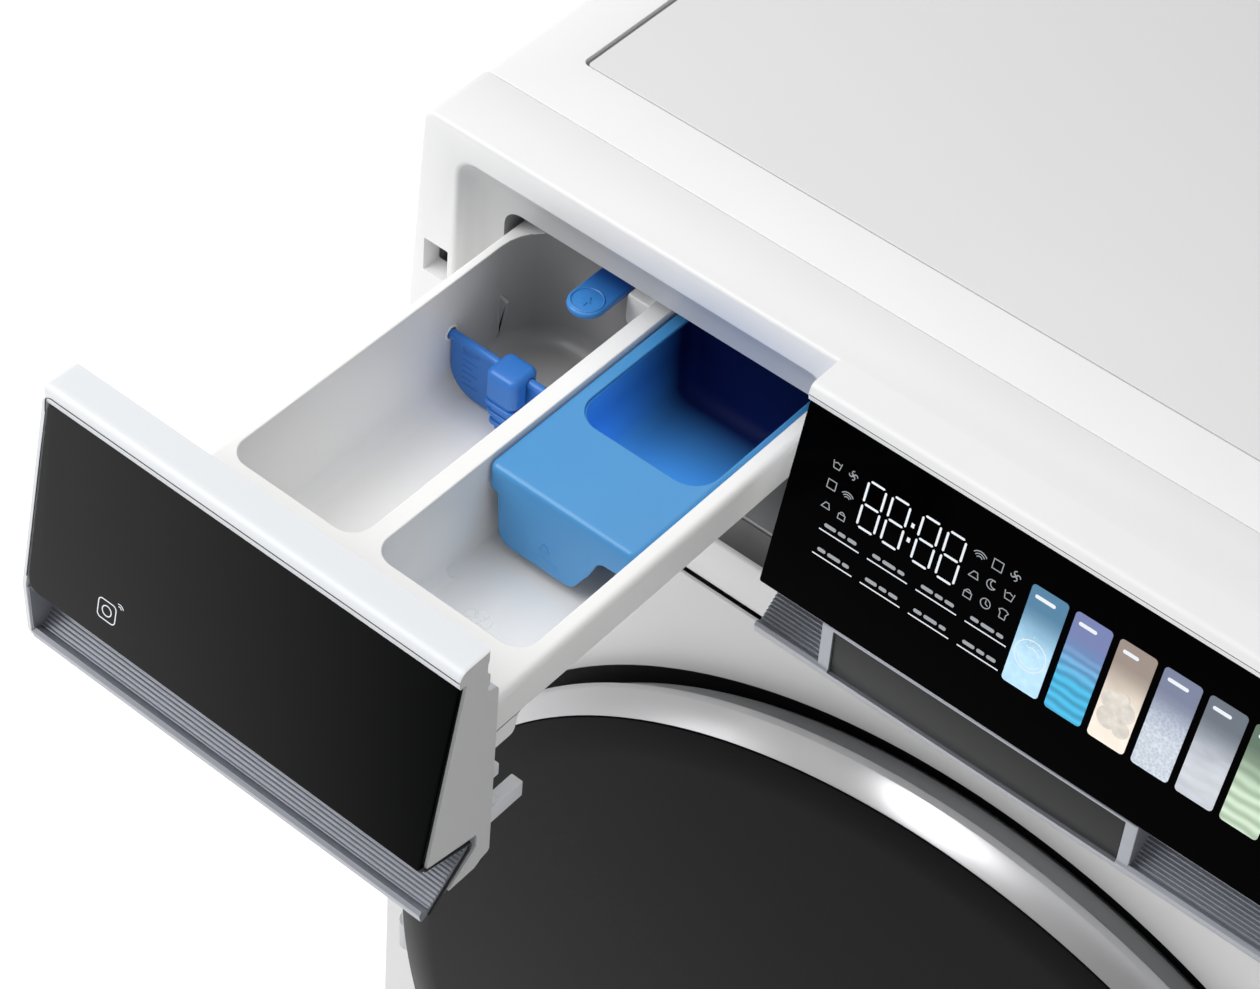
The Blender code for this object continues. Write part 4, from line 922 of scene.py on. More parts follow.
def tile_material(index, low, high, pattern, scale, stretch=(1, 1, 1)):
    """A programme tile: two tones down its height with a plain woven, folded or fluffy pattern."""
    made = surface(f"tile_{index + 1}", high, 0.35)
    nodes = made.node_tree.nodes
    height = position_of(made)["Z"]
    tones = two_tones(made, map_range(made, height, (783 * MM, 826 * MM)), low, high, (0.35, 0.8))
    texture = nodes.new({"folds": "ShaderNodeTexWave", "knit": "ShaderNodeTexVoronoi",
                         "fluff": "ShaderNodeTexNoise"}[pattern])
    stretched(made, texture, stretch)
    texture.inputs["Scale"].default_value = scale
    if pattern == "folds":
        texture.bands_direction = "Z"
        texture.inputs["Distortion"].default_value = 4.0
        texture.inputs["Detail Scale"].default_value = 0.8
    amount = nodes.new("ShaderNodeMath")
    amount.operation = "MULTIPLY"
    wire(made, texture.outputs["Distance" if pattern == "knit" else "Fac"], amount.inputs[0])
    wire(made, map_range(made, height, (814 * MM, 806 * MM)), amount.inputs[1])
    mix = nodes.new("ShaderNodeMix")
    mix.data_type = "RGBA"
    mix.blend_type = "SOFT_LIGHT"
    mix.inputs[7].default_value = (1, 1, 1, 1)
    wire(made, amount.outputs[0], mix.inputs[0])
    wire(made, tones, mix.inputs[6])
    wire(made, mix.outputs[2], inputs_of(made)["Base Color"])
    wire(made, mix.outputs[2], inputs_of(made)["Emission Color"])
    inputs_of(made)["Emission Strength"].default_value = 0.35
    return made


TILES = (
    ((0.30, 0.50, 0.66), (0.05, 0.16, 0.27), "fluff", 220),
    ((0.02, 0.24, 0.42), (0.13, 0.16, 0.34), "folds", 75),
    ((0.62, 0.54, 0.45), (0.25, 0.20, 0.17), "fluff", 110),
    ((0.36, 0.40, 0.46), (0.14, 0.16, 0.25), "knit", 900),
    ((0.36, 0.38, 0.42), (0.10, 0.12, 0.15), "fluff", 260, (0.35, 1, 1)),
    ((0.32, 0.42, 0.30), (0.08, 0.13, 0.09), "folds", 60),
    ((0.52, 0.38, 0.30), (0.20, 0.11, 0.08), "knit", 700),
)


def programme_tiles():
    first, pitch, wide, low, high = 9.8, 18.3, 15.4, 783.4, 826.6
    bar_z = 822.4
    bars = []
    for index, recipe in enumerate(TILES):
        x = first + pitch * index
        printed([block(x, x + wide, low, high, 1.6, 5)], f"programme_tile_{index + 1}",
                tile_material(index, *recipe))
        bars.append(block(x + 2.2, x + 10.7 - index % 3, bar_z - 0.75, bar_z + 0.75, 0.7, 3))
    printed(bars, "tile_bars", PRINT_WHITE, thick=0.2)
    tile_pictures(first, pitch, wide)


def tile_pictures(first, pitch, wide):
    """Plain motifs on the first tiles: a bubble with sparks, and tufts of fibre."""
    x, z = first + wide / 2, 798.5
    bubble = stroke(arc(x, z, 6.4, 0, 350, 30), 0.35, True) + stroke(arc(x, z, 4.9, 200, 330, 14), 0.3)
    bubble += stroke(arc(x, z, 3.4, 20, 120, 10), 0.3)
    for k in range(16):
        angle, reach = math.radians(360 * 0.618 * k), 0.9 + 0.36 * k
        a, b = x + reach * math.cos(angle), z + 3 + reach * 0.8 * math.sin(angle)
        bubble.append(block(a - 0.22, a + 0.22, b - 0.22, b + 0.22, 0.2, 2))
    printed(bubble, "tile_bubble", PRINT_WHITE, thick=0.16)
    x += 2 * pitch
    tufts = [arc(x + a, z + b, r, 0, 345, 22) for a, b, r in
             ((-3.4, 3.0, 3.9), (2.6, 1.0, 4.4), (-2.2, -4.2, 4.6), (3.6, -6.2, 3.4), (0.6, 5.6, 2.8))]
    for index, tuft in enumerate(tufts):
        printed([tuft], f"tile_tuft_{index + 1}", COTTON, thick=0.14 + 0.03 * index)


# ---------------------------------------------------------------- drawer


def corner_cutter(x, y, x_turn, y_turn, radius):
    """What to take off an upright corner at (x, y) to round it; the turns point into the body."""
    out_x, out_y = x - 3 * x_turn, y - 3 * y_turn
    in_x, in_y = x + 6 * x_turn, y + 6 * y_turn
    corners = [(out_x, out_y), (in_x, out_y), (in_x, y), (x, y, radius), (x, in_y), (out_x, in_y)]
    return prism(filleted(corners, 8), "Z", GLASS_TOP[1] + 0.5, HEIGHT + 5)


def seam_lines():
    """The dark hairlines where the white tops meet the glass frames."""
    y, z = SEAM[0] + 0.16, GLASS_TOP[1] + 3.3
    console_line = tube([(PANEL_LEFT + 0.3, y, z), (PANEL_RIGHT - 0.5, y, z)], 0.22, 8)
    piece(console_line, "panel_hairline", DARK, "cabinet")
    y, z = y - DRAWER_OPEN, z + 0.6
    bend = 3.4
    edge = FRONT_LEFT + 1.6
    route = [(FRONT_RIGHT - 0.2, y, z), (edge + bend, y, z)]
    route += [(edge + inset, y + 0.1 * k / 6, z - drop)
              for k, (drop, inset) in enumerate(quarter(bend, 6)) if k]
    route += [(edge, behind(h, -0.02)[0] - DRAWER_OPEN, h) for h in (838.0, 820.0, 790.0, 765.0)]
    piece(tube(route, 0.24, 8), "fascia_hairline", DARK, "drawer")


def drawer_front():
    back = FASCIA_BACK
    corners = slid(front_corners(-0.6, -0.5, 4.0))
    corners += [(back - inward, z, radius) for inward, z, radius in
                ((0, 829.0, 0.9), (1.6, 829.6, 0.5), (1.6, 832.0, 0.5), (0.7, 833.0, 0.5), (0.7, 838.0, 0.5),
                 (2.2, 839.5, 0.5), (2.2, 844.2, 1.0), (0.1, 846.2, 0.8))]
    body = prism(filleted(corners, 4), "X", FRONT_LEFT + 0.3, FRONT_RIGHT)
    join(body, prism(slid(cap_outline(-0.7, 4.0)), "X", FRONT_LEFT, FRONT_LEFT + CAP_THICK))
    cut(body, corner_cutter(FRONT_LEFT, SEAM[0] - DRAWER_OPEN, 1, 1, 3.2),
        corner_cutter(FRONT_LEFT, back - 0.1, 1, -1, 3.0),
        corner_cutter(FRONT_RIGHT, back - 0.1, -1, -1, 2.2))
    side = filleted([(FRONT_LEFT - 4, HEIGHT + 4), (FRONT_LEFT - 4, HEIGHT - 6), (FRONT_LEFT, HEIGHT - 6),
                     (FRONT_LEFT, HEIGHT, 2.4), (FRONT_LEFT + 6, HEIGHT), (FRONT_LEFT + 6, HEIGHT + 4)], 8)
    cut(body, prism(side, "Y", -40 - DRAWER_OPEN, 10 - DRAWER_OPEN))
    hollow = slid([(1, 843), (-9, 843), behind(834, 7), behind(764, 7), (-4.5, 762), (1, 762)])
    cut(body, prism(hollow, "X", FRONT_LEFT + 4, TRAY[0] - 1))
    inner = slid([(-3.5, 828), behind(828, 7), behind(766, 7), (-3.5, 766)])
    cut(body, prism(inner, "X", TRAY[0] + 6, TRAY[1] - 6))
    cut(body, prism(slid([(5, 828), (-4, 828), (-4, 812), (5, 812)]), "X", TRAY[0] + 6, TRAY[1] - 6))
    x0, x1, reach = FLANGE
    flange = filleted([(back - 2, 829), (back - 2, 737), (back + reach, 738.5, 2),
                       (back + reach, 828.5, 3)], 6)
    join(body, prism(flange, "X", x0, x1 - 0.05))
    for x0, x1, z0, z1, reach in (*SIDE_CLIPS, CATCH):
        join(body, prism(block(x0, x1, z0, z1, 0.6, 3), "Y", back - 1, back + reach, 0, 0.8))
    piece(body, "fascia", FASCIA_WHITE_SHADED_END, "drawer", ["drawer_front"], smooth=36)


def drawer_clip_details():
    """A pin and a fin beside the lower clip."""
    back = FASCIA_BACK
    pin = rod(0, back + 7, 762.5, 2.0, "X", -100.6, -96.4, 20, 0.3)
    fin = prism(block(back - 0.4, back + 9, 759.2, 760.6, 0.5, 3), "X", -100.5, -96.5)
    piece(merge(pin, fin), "clip_details", FASCIA_WHITE_SHADED_END, "drawer")


def drawer_glass():
    left, right = FRONT_LEFT + 2.5, FRONT_RIGHT - 1.2
    glass = slab(filleted([(left, 0, 4.0), (right, 0, 0.4), (right, SLOPE_LENGTH, 1.0),
                           (left, SLOPE_LENGTH, 5.5)]), -GLASS_THICK, 0, DRAWER_OPEN, 0.35)
    piece(glass, "drawer_face_glass", DRAWER_GLASS_PAINTED_REFLECTION, "drawer", ["drawer_glass"], smooth=50)
    x, z = ICON_PLACE
    mark = stroke(block(x - 4.3, x + 4.3, z - 4.3, z + 4.3, 1.8, 5), 0.4, True)
    mark += stroke(arc(x, z, 2.2, 0, 342, 20), 0.4, True)
    mark += [bar for k in (1.0, 2.0) for bar in stroke(arc(x + 5.6, z + 4.6, k, 20, 110, 5), 0.3)]
    printed(mark, "wireless_icon", PRINT_WHITE, "drawer", DRAWER_OPEN)


def drawer_trough():
    trough = prism(slid(trough_outline()), "X", FRONT_LEFT + 1.9, FRONT_RIGHT - 0.5)
    piece(trough, "drawer_trough", TRIM, "drawer", ["drawer_trim"], smooth=40)
    apex_y, apex_z = TROUGH_APEX
    bend = [(apex_y - 3.4, apex_z + 1.6), (apex_y - 1.4, apex_z + 1.3), (apex_y - 0.8, apex_z - 0.8),
            (apex_y - 1.6, apex_z - 2.6)]
    route = slid([(GLASS_BOTTOM[0] + 2.2, GLASS_BOTTOM[1] - 0.4), *bend, (LIP[0] + 3.2, LIP[1] + 1.2)])
    seal = tube([(FRONT_RIGHT - 0.1, y, z) for y, z in route], 0.55)
    piece(seal, "trough_end_seal", BLACK_RUBBER, "drawer")
    end = filleted([(GLASS_BOTTOM[0] + 0.7, GLASS_BOTTOM[1] - 0.9, 0), (apex_y - 2, apex_z - 0.4, 1.0),
                    (LIP[0] + 2.0, LIP[1] + 2.4, 0.5), (LIP[0] - 1.0, LIP[1] + 5.0, 1.0)], 4)
    piece(prism(slid(end), "X", FRONT_LEFT + 1.75, FRONT_LEFT + 2.6), "trough_end_wall", TRIM, "drawer")


def rounded_cutter(rings, depth):
    """A cell's hollow from its lowest outline up, with a fillet of the given depth around its floor.

    Each ring is (z, x0, x1, y0, y1, radius) with the drawer shut; the first one is the floor."""
    floor, x0, x1, y0, y1, radius = rings[0]
    shaped = [(floor + rise, x0 + inset, x1 - inset, y0 + inset, y1 - inset, max(radius - inset, 1.0))
              for rise, inset in quarter(depth, 6)]
    return stack([(z, block(a, b, c - DRAWER_OPEN, d - DRAWER_OPEN, r, 8))
                  for z, a, b, c, d, r in (*shaped, *rings[1:])])


def soft_hollow(y0, y1, radius, depth):
    """The right cell's hollow, whose right wall leans in below the bend."""
    x0, x1 = SOFT_CELL[:2]
    lean = (x1 - SOFT_LOW_RIGHT) * depth / (SOFT_BEND - SOFT_FLOOR)
    return rounded_cutter([(SOFT_FLOOR, x0, SOFT_LOW_RIGHT + lean, y0, y1, radius),
                           (SOFT_BEND, x0, x1, y0, y1, radius), (850, x0, x1, y0, y1, radius)], depth)


def main_hollow():
    """The left cell's hollow with its wide rear left corner."""
    x0, x1, y0, y1 = MAIN_CELL
    y0, y1 = y0 - DRAWER_OPEN, y1 - DRAWER_OPEN
    levels = []
    for rise, inset in (*quarter(8.0, 6), (850 - TRAY_FLOOR, 0)):
        small, wide = max(9 - inset, 1), max(24 - inset, 1)
        corners = [(x1 - inset, y1 - inset, small), (x0 + inset, y1 - inset, wide),
                   (x0 + inset, y0 + inset, small), (x1 - inset, y0 + inset, small)]
        levels.append((TRAY_FLOOR + rise, filleted(corners, 8)))
    return stack(levels)


def shade_tray(tray):
    """Paint shade into the left cell: its walls and floor darken towards the rear; the post stays plain
    white.
    """
    tray.data.materials.append(TRAY_SHADED)
    rear = MAIN_CELL[3] - DRAWER_OPEN
    for face in tray.data.polygons:
        x, y, z = centre_of(face)
        within = MAIN_CELL[0] - 2 < x < MAIN_CELL[1] + 1.5 and z < TRAY_TOP - 0.3 and y < rear + 0.6
        on_post = x > POST[0] - 1 and POST[1] - 2 < y < rear - 2 and z > POST[2] - 1
        if within and not on_post:
            face.material_index = 1


def drawer_tray():
    x0, x1, front, back, bottom, top = TRAY
    right, low = SOFT_CELL[1] + 3, SOFT_FLOOR - 2.5
    section = filleted([(x0, top, 1.4), (x0, bottom, 2), (MAIN_CELL[1] + 3, bottom, 2),
                        (MAIN_CELL[1] + 5, low, 1), (SOFT_LOW_RIGHT + 1.5, low, 2),
                        (right, SOFT_BEND - 0.2, 2), (right, top - 3.8, 0), (x1 - 2.0, top - 4.6, 1.6),
                        (x1 - 2.0, top - 17, 0.8), (x1, top - 17, 0.8), (x1 - 0.3, top, 3.2)], 6)
    tray = prism(section, "Y", front, back)
    ear = filleted([(front + 0.1, top - 6), (front + 0.1, top - 27), (front + 24, top - 27, 3),
                    (front + 27, top - 14, 2), (front + 27, top - 6)], 4)
    join(tray, prism(ear, "X", x1 - 5, x1 - 0.5))
    cut(tray, main_hollow(), soft_hollow(SOFT_CELL[2], SOFT_CELL[2] + 70, 9, 6.5),
        soft_hollow(SOFT_CELL[2] + 40, SOFT_CELL[3] + 3, 2.2, 1.2),
        box(x0 + 6, SOFT_LOW_RIGHT - 0.5, front - 2, front + 31, bottom - 5, top - 3))
    left, right, rear = MAIN_CELL[0], MAIN_CELL[1], MAIN_CELL[3] - DRAWER_OPEN
    fin = [(left - 1, top - 26), (left + 4.2, top - 27.5), (left + 3.0, top - 34), (left - 1, top - 52)]
    fin_y = 184 - DRAWER_OPEN
    join(tray, prism(fin, "Y", fin_y, fin_y + 1.8))
    post = filleted([(POST[0], top - 4.6, 1.5), (POST[0], POST[2], 4.5), (right + 2, POST[2]),
                     (right + 2, top - 4.6)], 6)
    join(tray, prism(post, "Y", POST[1], rear + 1, 0.8, 0))
    cut(tray, box(-217, -200, rear - 1, back + 1, 796, 830))
    for x in (left - 1.5, right + 1.5):
        cut(tray, rod(0, PIVOT_Y, PIVOT_Z, 2.4, "X", x - 2, x + 2, 24))
    piece(tray, "tray", TRAY_WHITE, "drawer", ["drawer_tray"], 0.6, 3, 34)
    shade_tray(tray)


def tray_details():
    """The left pivot's boss and the flower pressed into the right cell's floor."""
    wall = MAIN_CELL[0]
    boss = lathe([(2.6, wall - 0.2), (3.6, wall - 0.2), (3.4, wall + 0.25), (2.6, wall + 0.25)],
                 (PIVOT_Y, PIVOT_Z), 32, "X")
    piece(boss, "pivot_boss", TRAY_WHITE, "drawer")
    x, y, z = -155.5, 65.0 - DRAWER_OPEN, SOFT_FLOOR + 0.02
    petals = []
    for k in range(5):
        turn = 72 * k + 18
        middle = (x + 3.4 * math.cos(math.radians(turn)), y + 3.4 * math.sin(math.radians(turn)))
        petals.append(tube([(a, b, z) for a, b in arc(*middle, 2.6, turn - 130, turn + 130, 13)], 0.28, 6))
    petals.append(tube([(a, b, z) for a, b in arc(x, y, 1.5, 0, 340, 17)], 0.25, 6))
    piece(merge(*petals), "cell_flower", TRAY_WHITE, "drawer")


def well_rings(inset, low, high):
    """The insert's well: an outline that narrows towards its floor."""
    x0, x1 = SOFT_CELL[0] + 5.4 + inset, SOFT_CELL[1] - 1.9 - inset
    y0, y1 = 134 - DRAWER_OPEN + inset, SOFT_CELL[3] + 1 - DRAWER_OPEN - inset
    bend = 788
    floor_right = -125.5 - inset
    rings = [(low + rise, x0 + 1 + pull, floor_right - pull, y0 + 2 + pull, y1 - 1 - pull)
             for rise, pull in quarter(6, 5)]
    rings += [(bend, x0, x1, y0, y1), (high, x0, x1, y0, y1)]
    return stack([(z, filleted([(b, d, 4), (a, d, 5), (a, c, 11.5), (b, c, 11.5)], 10))
                  for z, a, b, c, d in rings])


def insert_front(x0, x1, low):
    """The front wall's outline: a notch on the left, a rounded lobe and an arch on the right."""
    return filleted([(x0, low), (x0, 791.8, 1.0), (-173.4, 791.6, 1.2), (-171.8, 767, 6.5),
                     (-137.0, 767, 5.5), (-129.6, 779.5, 3), (-125.5, 789.6, 5), (x1, 790.4, 0.6),
                     (x1, low)], 6)


def softener_insert():
    x0, x1 = SOFT_CELL[0] + 0.4, SOFT_CELL[1] - 0.4
    y0, y1 = 95.5 - DRAWER_OPEN, SOFT_CELL[3] + 2.4 - DRAWER_OPEN
    top = span("softener_insert")[5]
    rim = 2.8
    levels = [(767, 0), *[(top - drop, inset) for inset, drop in quarter(rim, 6)]]
    shell = stack([(z, block(x0 + i, x1 - i, y0 + i, y1 - i, 3.4 - i, 6)) for z, i in levels])
    cut(shell, prism(block(x0 + 1.6, x1 - 1.6, y0 + 1.8, y1 - 1.6, 2, 4), "Z", 700, top - 2))
    cut(shell, prism(insert_front(x0 - 1, x1 + 1, 740), "Y", y0 - 1, y0 + 10),
        box(-124, x1 + 1, y0 + 5, y1 + 1, 740, 788), box(x0 - 1, x1 + 1, y0 + 8, y1 + 1, 740, 770))
    join(shell, well_rings(0, 765, top - 0.5))
    cut(shell, well_rings(1.2, 766.2, top + 5))
    piece(shell, "insert", LIGHT_BLUE, "softener_insert", ["softener_insert"], 0.5, 3, 30)
    # A thin sheet over the well's inner faces that carries its painted shade and glow.
    well_shade_sheet = well_rings(1.3, 766.3, top - 1.2)
    cut(well_shade_sheet, well_rings(1.55, 766.7, top + 5))
    piece(well_shade_sheet, "insert_well_shade_sheet", WELL_BLUE_PAINTED_SHADE_GLOW, "softener_insert", smooth=40)
    level = prism(block(-156.5, -144.0, 772.2, 772.9, 0.3, 2), "Y", y0 - 0.28, y0 + 0.3, 0.12, 0)
    drop = tube([(-150.3 + 1.9 * math.sin(t) * (1.25 if math.cos(t) < 0 else 0.85), y0 - 0.02,
                  778.2 + 2.6 * math.cos(t)) for t in [math.radians(a) for a in range(0, 361, 20)]], 0.28, 6)
    piece(merge(level, drop), "insert_level_mark", LIGHT_BLUE, "softener_insert")


def flap():
    y = PIVOT_Y
    x0, x1 = MAIN_CELL[0] + 0.8, MAIN_CELL[1] - 0.8
    plate = prism(filleted([(x0, 781, 0.8), (x0, 751.5, 13), (x1, 751.5, 13), (x1, 781, 0.8)], 8),
                  "Y", y - 1.0, y + 1.0, 0.3, 0.3)
    join(plate, rod(0, y, PIVOT_Z, 2.0, "X", MAIN_CELL[0] - 1.2, MAIN_CELL[1] + 1.2, 24, 0.4))
    piece(plate, "flap", DEEP_BLUE, "detergent_flap", ["detergent_flap"], smooth=34)
    marks = []
    for i in range(6):
        z, length = 757.5 + 3.2 * i, (8.0, 5.0)[i % 2]
        marks.append(prism(block(x0 + 6, x0 + 6 + length, z, z + 0.5, 0.2, 2), "Y", y - 1.18, y - 0.9))
    loop = [*block(x0 + 6.5, x0 + 14, 774.8, 778.4, 0.8, 3), (x0 + 14, 777.8)]
    marks.append(tube([(a, y - 1.05, b) for a, b in loop], 0.22, 6))
    piece(merge(*marks), "flap_scale", DEEP_BLUE, "detergent_flap")


def grip():
    """The ribbed slider on the flap: a rounded block over a stack of thin curved fins."""
    y, centre = PIVOT_Y, -216.5
    body = prism(block(centre - 7.5, centre + 7.5, y - 9.5, y + 5.5, 3.2, 6), "Z", 769, 783.5, 0.8, 2.6, 5)
    for i, half in enumerate((6.4, 5.6, 5.0)):
        z = 767.5 - 5.2 * i
        front = y - 10 + i * 0.6
        join(body, prism(block(centre - half + 0.8, centre + half - 0.8, front + 1.4, y - 1.6, 2.0, 4),
                         "Z", z - 4.5, z + 2.5))
        join(body, prism(block(centre - half - 1, centre + half + 1, front, y - 1.4, 2.6, 5),
                         "Z", z - 1.6, z + 0.4, 0.7, 0.7))
    cut(body, box(centre - 20, centre + 20, y - 1.3, y + 1.3, 700, 779.2),
        rod(0, y, PIVOT_Z, 2.3, "X", centre - 20, centre + 20, 24),
        box(centre - 20, centre + 20, y - 2.3, y + 2.3, 765, PIVOT_Z))
    piece(body, "grip", DEEP_BLUE, "flap_grip", ["flap_grip"], 0.25, 2, 34)


def release_tab():
    y, z = 207.0 - DRAWER_OPEN, 800.0
    x, half = -208.5, 7.9
    tip = y - 20
    plan = filleted([(x - half, y + 6, 1), (x - half, tip - half, half),
                     (x + half, tip - half, half), (x + half, y + 6, 1)], 12)
    piece(prism(plan, "Z", z - 1.5, z + 1.5, 1.0, 1.0), "tab", TAB_BLUE_SHADED_BASE, "release_tab", ["release_tab"],
          smooth=40)
    ring = lathe([(6.3, z + 1.3), (6.9, z + 1.3), (6.9, z + 1.75), (6.6, z + 1.95), (6.3, z + 1.75)],
                 (x, tip), 64, "Z")
    arrow = prism([(x + a, tip + b) for a, b in ((-2.2, -1), (0, 2), (2.2, -1), (0.9, -1), (0.9, -3.4),
                                                 (-0.9, -3.4), (-0.9, -1))], "Z", z + 1.4, z + 1.8)
    piece(merge(ring, arrow), "tab_ring", TAB_BLUE_SHADED_BASE, "release_tab")


# ---------------------------------------------------------------- front, door and drum


def front_panel():
    sheet = prism(block(-297, 297, 22, CONSOLE_BOTTOM - 0.75, 1.5, 4), "Y", PANEL_FACE, PANEL_FACE + 1.5,
                  0.6, 0)
    dish = lathe([(0, PANEL_FACE + 0.5), (DISH_R + 1.6, PANEL_FACE + 0.5), (DISH_R + 1.6, 0.2),
                  (DISH_R - 0.3, DISH_FLOOR + 1.5), (MOUTH_R + 1.5, DISH_FLOOR + 1.5),
                  (MOUTH_R + 1.5, 22), (0, 22)])
    hollow = lathe([(0, -10), (DISH_R, -10), (DISH_R, PANEL_FACE + 0.3), (DISH_R - 2, DISH_FLOOR),
                    (MOUTH_R, DISH_FLOOR), (MOUTH_R, 30), (0, 30)])
    cut(join(sheet, dish), hollow)
    x0, x1, _, _, z0, z1 = span("service_flap")
    cut(sheet, prism(block(x0 - 0.6, x1 + 0.6, z0 - 1.7, z1 + 0.6, 2, 4), "Y", -10, 5), box(*HOOK_SLOT))
    piece(sheet, "front_sheet", PANEL_WHITE, "cabinet", ["front_panel"], 0.3, 2)
    # A black liner over the dish's wall and floor: taken as black trim, it also paints the deep shade in the
    # gap round the door ring.
    shade_liner = lathe([(DISH_R - 0.1, PANEL_FACE + 0.4), (DISH_R - 0.1, PANEL_FACE + 0.9),
                   (DISH_R - 2.1, DISH_FLOOR - 0.02), (MOUTH_R + 3, DISH_FLOOR - 0.02),
                   (MOUTH_R + 3, DISH_FLOOR - 0.25), (DISH_R - 2.6, DISH_FLOOR - 0.25),
                   (DISH_R - 0.45, PANEL_FACE + 0.6)])
    piece(cut(shade_liner, box(*HOOK_SLOT)), "dish_shade_liner", BLACK_RUBBER, "cabinet")


def service_flap():
    x0, x1, y0, y1, z0, z1 = span("service_flap")
    plate = prism(block(x0, x1, z0, z1, 2, 5), "Y", y0, y1, 0.5, 0)
    cut(plate, rod((x0 + x1) / 2, 0, z1 + 4.6, 11, "Y", -10, 10, 64))
    piece(plate, "flap_cover", SHELL_WHITE, "service_flap", ["service_flap"], 0.3, 2)


def knuckle_notches():
    x, y = HINGE
    return [box(x - 20, x + 12, y - 12, 20, low - 1, high + 1) for low, high in KNUCKLES]


def door():
    ring = lathe(filleted([(GLASS_R + 0.4, -28.0, 0.25), (RING_OUT - 0.2, -16.2, 0.5),
                           (RING_OUT, -12.5, 0.5), (235, -12.5), (235, -24.6), (GLASS_R + 0.4, -24.6)], 3),
                 sides=256)
    cut(ring, *knuckle_notches())
    x, y = HINGE
    cut(ring, rod(x, y, 0, 3.4, "Z", 350, 467, 24))
    piece(ring, "ring", RING_SILVER, "door", ["door_ring"], smooth=30)
    steps, bulge = 14, 6.0
    dome = [(GLASS_R * 0.999 * i / steps, -28.0 - bulge * (1 - (i / steps) ** 2)) for i in range(steps + 1)]
    dome += [(GLASS_R, -27.8), (GLASS_R, -25.0), (GLASS_R * 0.6, -28.6), (0, -31.0)]
    piece(lathe(dome, sides=256), "face_glass", DOOR_GLASS, "door", ["door_glass"], smooth=40)
    rear = lathe(filleted([(262, -12.2), (262, 2, 2), (258, 6, 2), (171.5, 6, 1), (171.5, -12.2)], 4))
    cut(rear, *knuckle_notches())
    hx, hy = HOOK
    cut(rear, box(hx - 9, hx + 9, hy - 7.5, 10, 401, 416))
    piece(rear, "door_back", GREY, "door", ["door_frame"], 0.4, 2)
    outside = [(0, 112), (95, 108, 40), (128, 96, 20), (142, 70, 30), (158, 8.5, 2), (170.4, 8.5, 1),
               (170.4, -12)]
    inside = [(166.5, -12), (166.5, 4.5, 1), (155, 4.5, 2), (138, 69, 30), (125, 92, 18), (94, 103.5, 38),
              (0, 107)]
    bowl = lathe(filleted(outside + inside, 8), sides=128)
    piece(bowl, "bowl", BOWL_GLASS, "door", ["door_bowl"], smooth=50)


def gasket():
    profile = filleted([(MOUTH_R - 0.8, 11), (MOUTH_R - 0.8, 25, 3), (178.5, 34, 3), (MOUTH_R - 0.8, 43, 3),
                        (MOUTH_R - 0.8, 57), (MOUTH_R - 4, 57), (MOUTH_R - 4, 45, 2.5), (174.6, 34, 3),
                        (MOUTH_R - 4, 23, 2.5), (MOUTH_R - 4, 11)], 5)
    piece(lathe(profile), "bellows_gasket", RUBBER, "cabinet", ["door_gasket"])


def drum():
    x0, x1, y0, y1 = span("drum_shell")[:4]
    outer = (x1 - x0) / 2
    outside = [(192, y0, 1), (246, y0, 4), (outer, y0 + 6, 4), (outer, y1, 3), (0, y1)]
    inside = [(0, y1 - 2), (outer - 2, y1 - 2, 2), (outer - 2, y0 + 7, 3), (245, y0 + 2, 3),
              (192, y0 + 2, 1)]
    shell = lathe(filleted(outside + inside, 4))
    piece(shell, "drum_basket", DRUM_STEEL, "drum", ["drum_shell"], smooth=40)
    for index in range(3):
        carry(f"lifter_{index + 1}", TRAY_WHITE, 4.0)


def rear_cover():
    y0 = span("rear_cover")[2]
    outside = [(0, y0 + 8.7), (120, y0 + 8.7, 20), (150, y0 + 5.7, 20), (178, y0 + 1.7, 1), (178, y0)]
    inside = [(162, y0), (148, y0 + 3.7), (120, y0 + 6.7), (0, y0 + 6.7)]
    cover = lathe(filleted(outside + inside, 5))
    piece(cover, "motor_cover", SHELL_WHITE, "cabinet", ["rear_cover"])


def carried():
    """The nodes whose frame shape is right: eased edges and their own materials."""
    groups = {
        SHELL_WHITE: ["cabinet_shell"],
        DARK: ["base_tray", "mains_gland", "foot_1", "foot_2", "foot_3", "foot_4", "damper_body_left",
               "damper_body_right", "door_lock"],
        GREY: ["dispenser_housing", "drain_pump", "filter_cap", "tub_front", "tub_rear"],
        CONSOLE_WHITE: ["inlet_valve"],
        STEEL: ["motor_rotor", "drum_bearing", "drum_spider", "heater", "damper_rod_left",
                "damper_rod_right", "spring_left", "spring_right", "hinge_pin", "hinge_bracket",
                "latch_hook"],
        RUBBER: ["fill_hose", "sump_hose", "drain_hose", "dispenser_bellows"],
        CASTING: ["counterweight_front"],
        CIRCUIT: ["display_board"],
        COPPER: ["motor_stator"],
    }
    for material, nodes in groups.items():
        for node in nodes:
            carry(node, material, 0.4)


# ---------------------------------------------------------------- stage


def area_light(name, at, aim, size, power):
    data = bpy.data.lights.new(name, "AREA")
    data.shape = "RECTANGLE"
    data.size, data.size_y = size
    data.energy = power
    light = bpy.data.objects.new(name, data)
    light.location = at
    light.rotation_euler = (Vector(aim) - Vector(at)).to_track_quat("-Z", "Y").to_euler()
    bpy.context.scene.collection.objects.link(light)


def colour_management():
    bpy.context.scene.view_settings.view_transform = "Standard"
    bpy.context.scene.view_settings.look = "None"


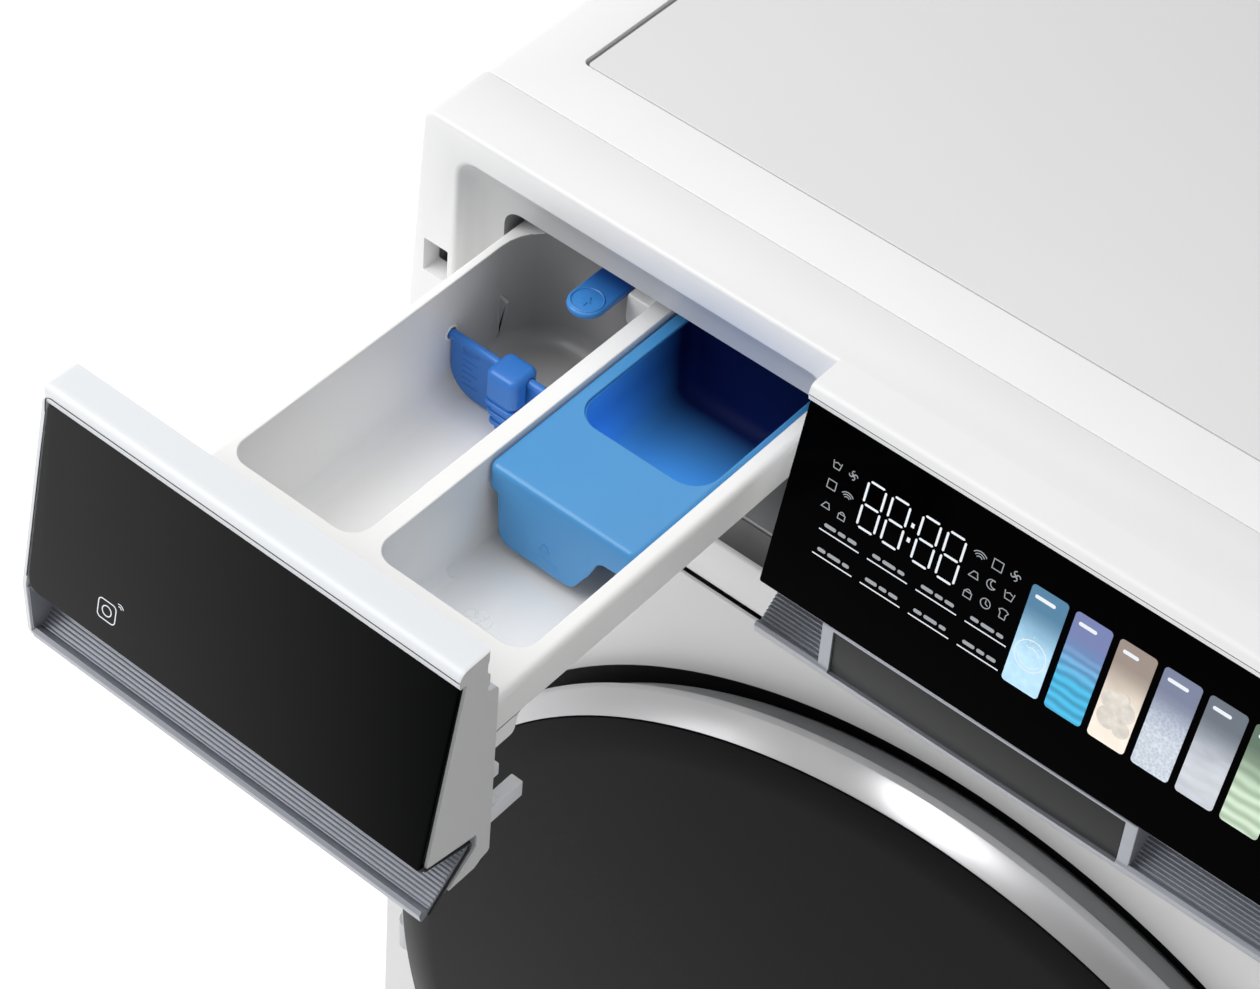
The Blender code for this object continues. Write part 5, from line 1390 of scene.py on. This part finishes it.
def shade_world(world):
    """Soft surroundings, brighter on the left than on the right."""
    background = world.node_tree.nodes["Background"]
    background.inputs["Color"].default_value = (1.0, 1.0, 1.0, 1)
    parts = world.node_tree.nodes.new("ShaderNodeSeparateXYZ")
    coords = world.node_tree.nodes.new("ShaderNodeTexCoord")
    wire(world, coords.outputs["Generated"], parts.inputs["Vector"])
    strength = map_range(world, parts.outputs["X"], (-1.0, 1.0), (0.58, 0.16))
    wire(world, strength, background.inputs["Strength"])


def stage():
    floor_mesh = bpy.data.meshes.new("floor")
    half = 40.0
    floor_mesh.from_pydata([(-half, -half, 0), (half, -half, 0), (half, half, 0), (-half, half, 0)], [],
                           [(0, 1, 2, 3)])
    floor = bpy.data.objects.new("floor", floor_mesh)
    pale = mottle(surface("pale_floor", (0.86, 0.86, 0.86), 0.8, specular=0.1), 0.01, 3)
    floor_mesh.materials.append(glow(pale, (1.0, 1.0, 1.0), 0.42))
    bpy.context.scene.collection.objects.link(floor)
    world = bpy.data.worlds.new("studio")
    bpy.context.scene.world = world
    world.use_nodes = True
    shade_world(world)
    area_light("overhead", (0.0, 0.3, 3.2), (0, 0, 0.6), (3.0, 3.0), 24)
    area_light("key_left", (-0.9, -0.95, 2.0), (-0.1, -0.2, 0.8), (1.1, 1.1), 15)
    area_light("front_left", (-2.2, -1.8, 1.7), (0, -0.1, 0.5), (1.4, 1.4), 7)
    area_light("front_right", (1.9, -1.7, 1.5), (0, -0.1, 0.6), (1.2, 1.6), 4)


def camera():
    """The photographer's place: in front, to the right and well above the console."""
    data = bpy.data.cameras.new("camera")
    data.lens = 97.0
    data.sensor_width = 36.0
    data.clip_start = 0.05
    made = bpy.data.objects.new("camera", data)
    ahead = Vector((-0.3977, 0.5588, -0.7278)).normalized()
    right = ahead.cross(Vector((-0.5005, 0.5327, 0.6825))).normalized()
    made.matrix_world = Matrix.Translation(place((352.9, -745.5, 1689.4))) @ Matrix(
        (right, right.cross(ahead), -ahead)).transposed().to_4x4()
    bpy.context.scene.collection.objects.link(made)
    bpy.context.scene.camera = made


def build():
    makers = (console, catch_ribs, worktop, panel_front, digit_display, key_rows, icons, programme_tiles,
              drawer_front, seam_lines, drawer_clip_details, drawer_glass, drawer_trough, drawer_tray,
              tray_details, softener_insert, flap, grip, release_tab, front_panel, service_flap, door,
              gasket, drum, rear_cover, carried, colour_management, stage, camera)
    for make in makers:
        make()


build()
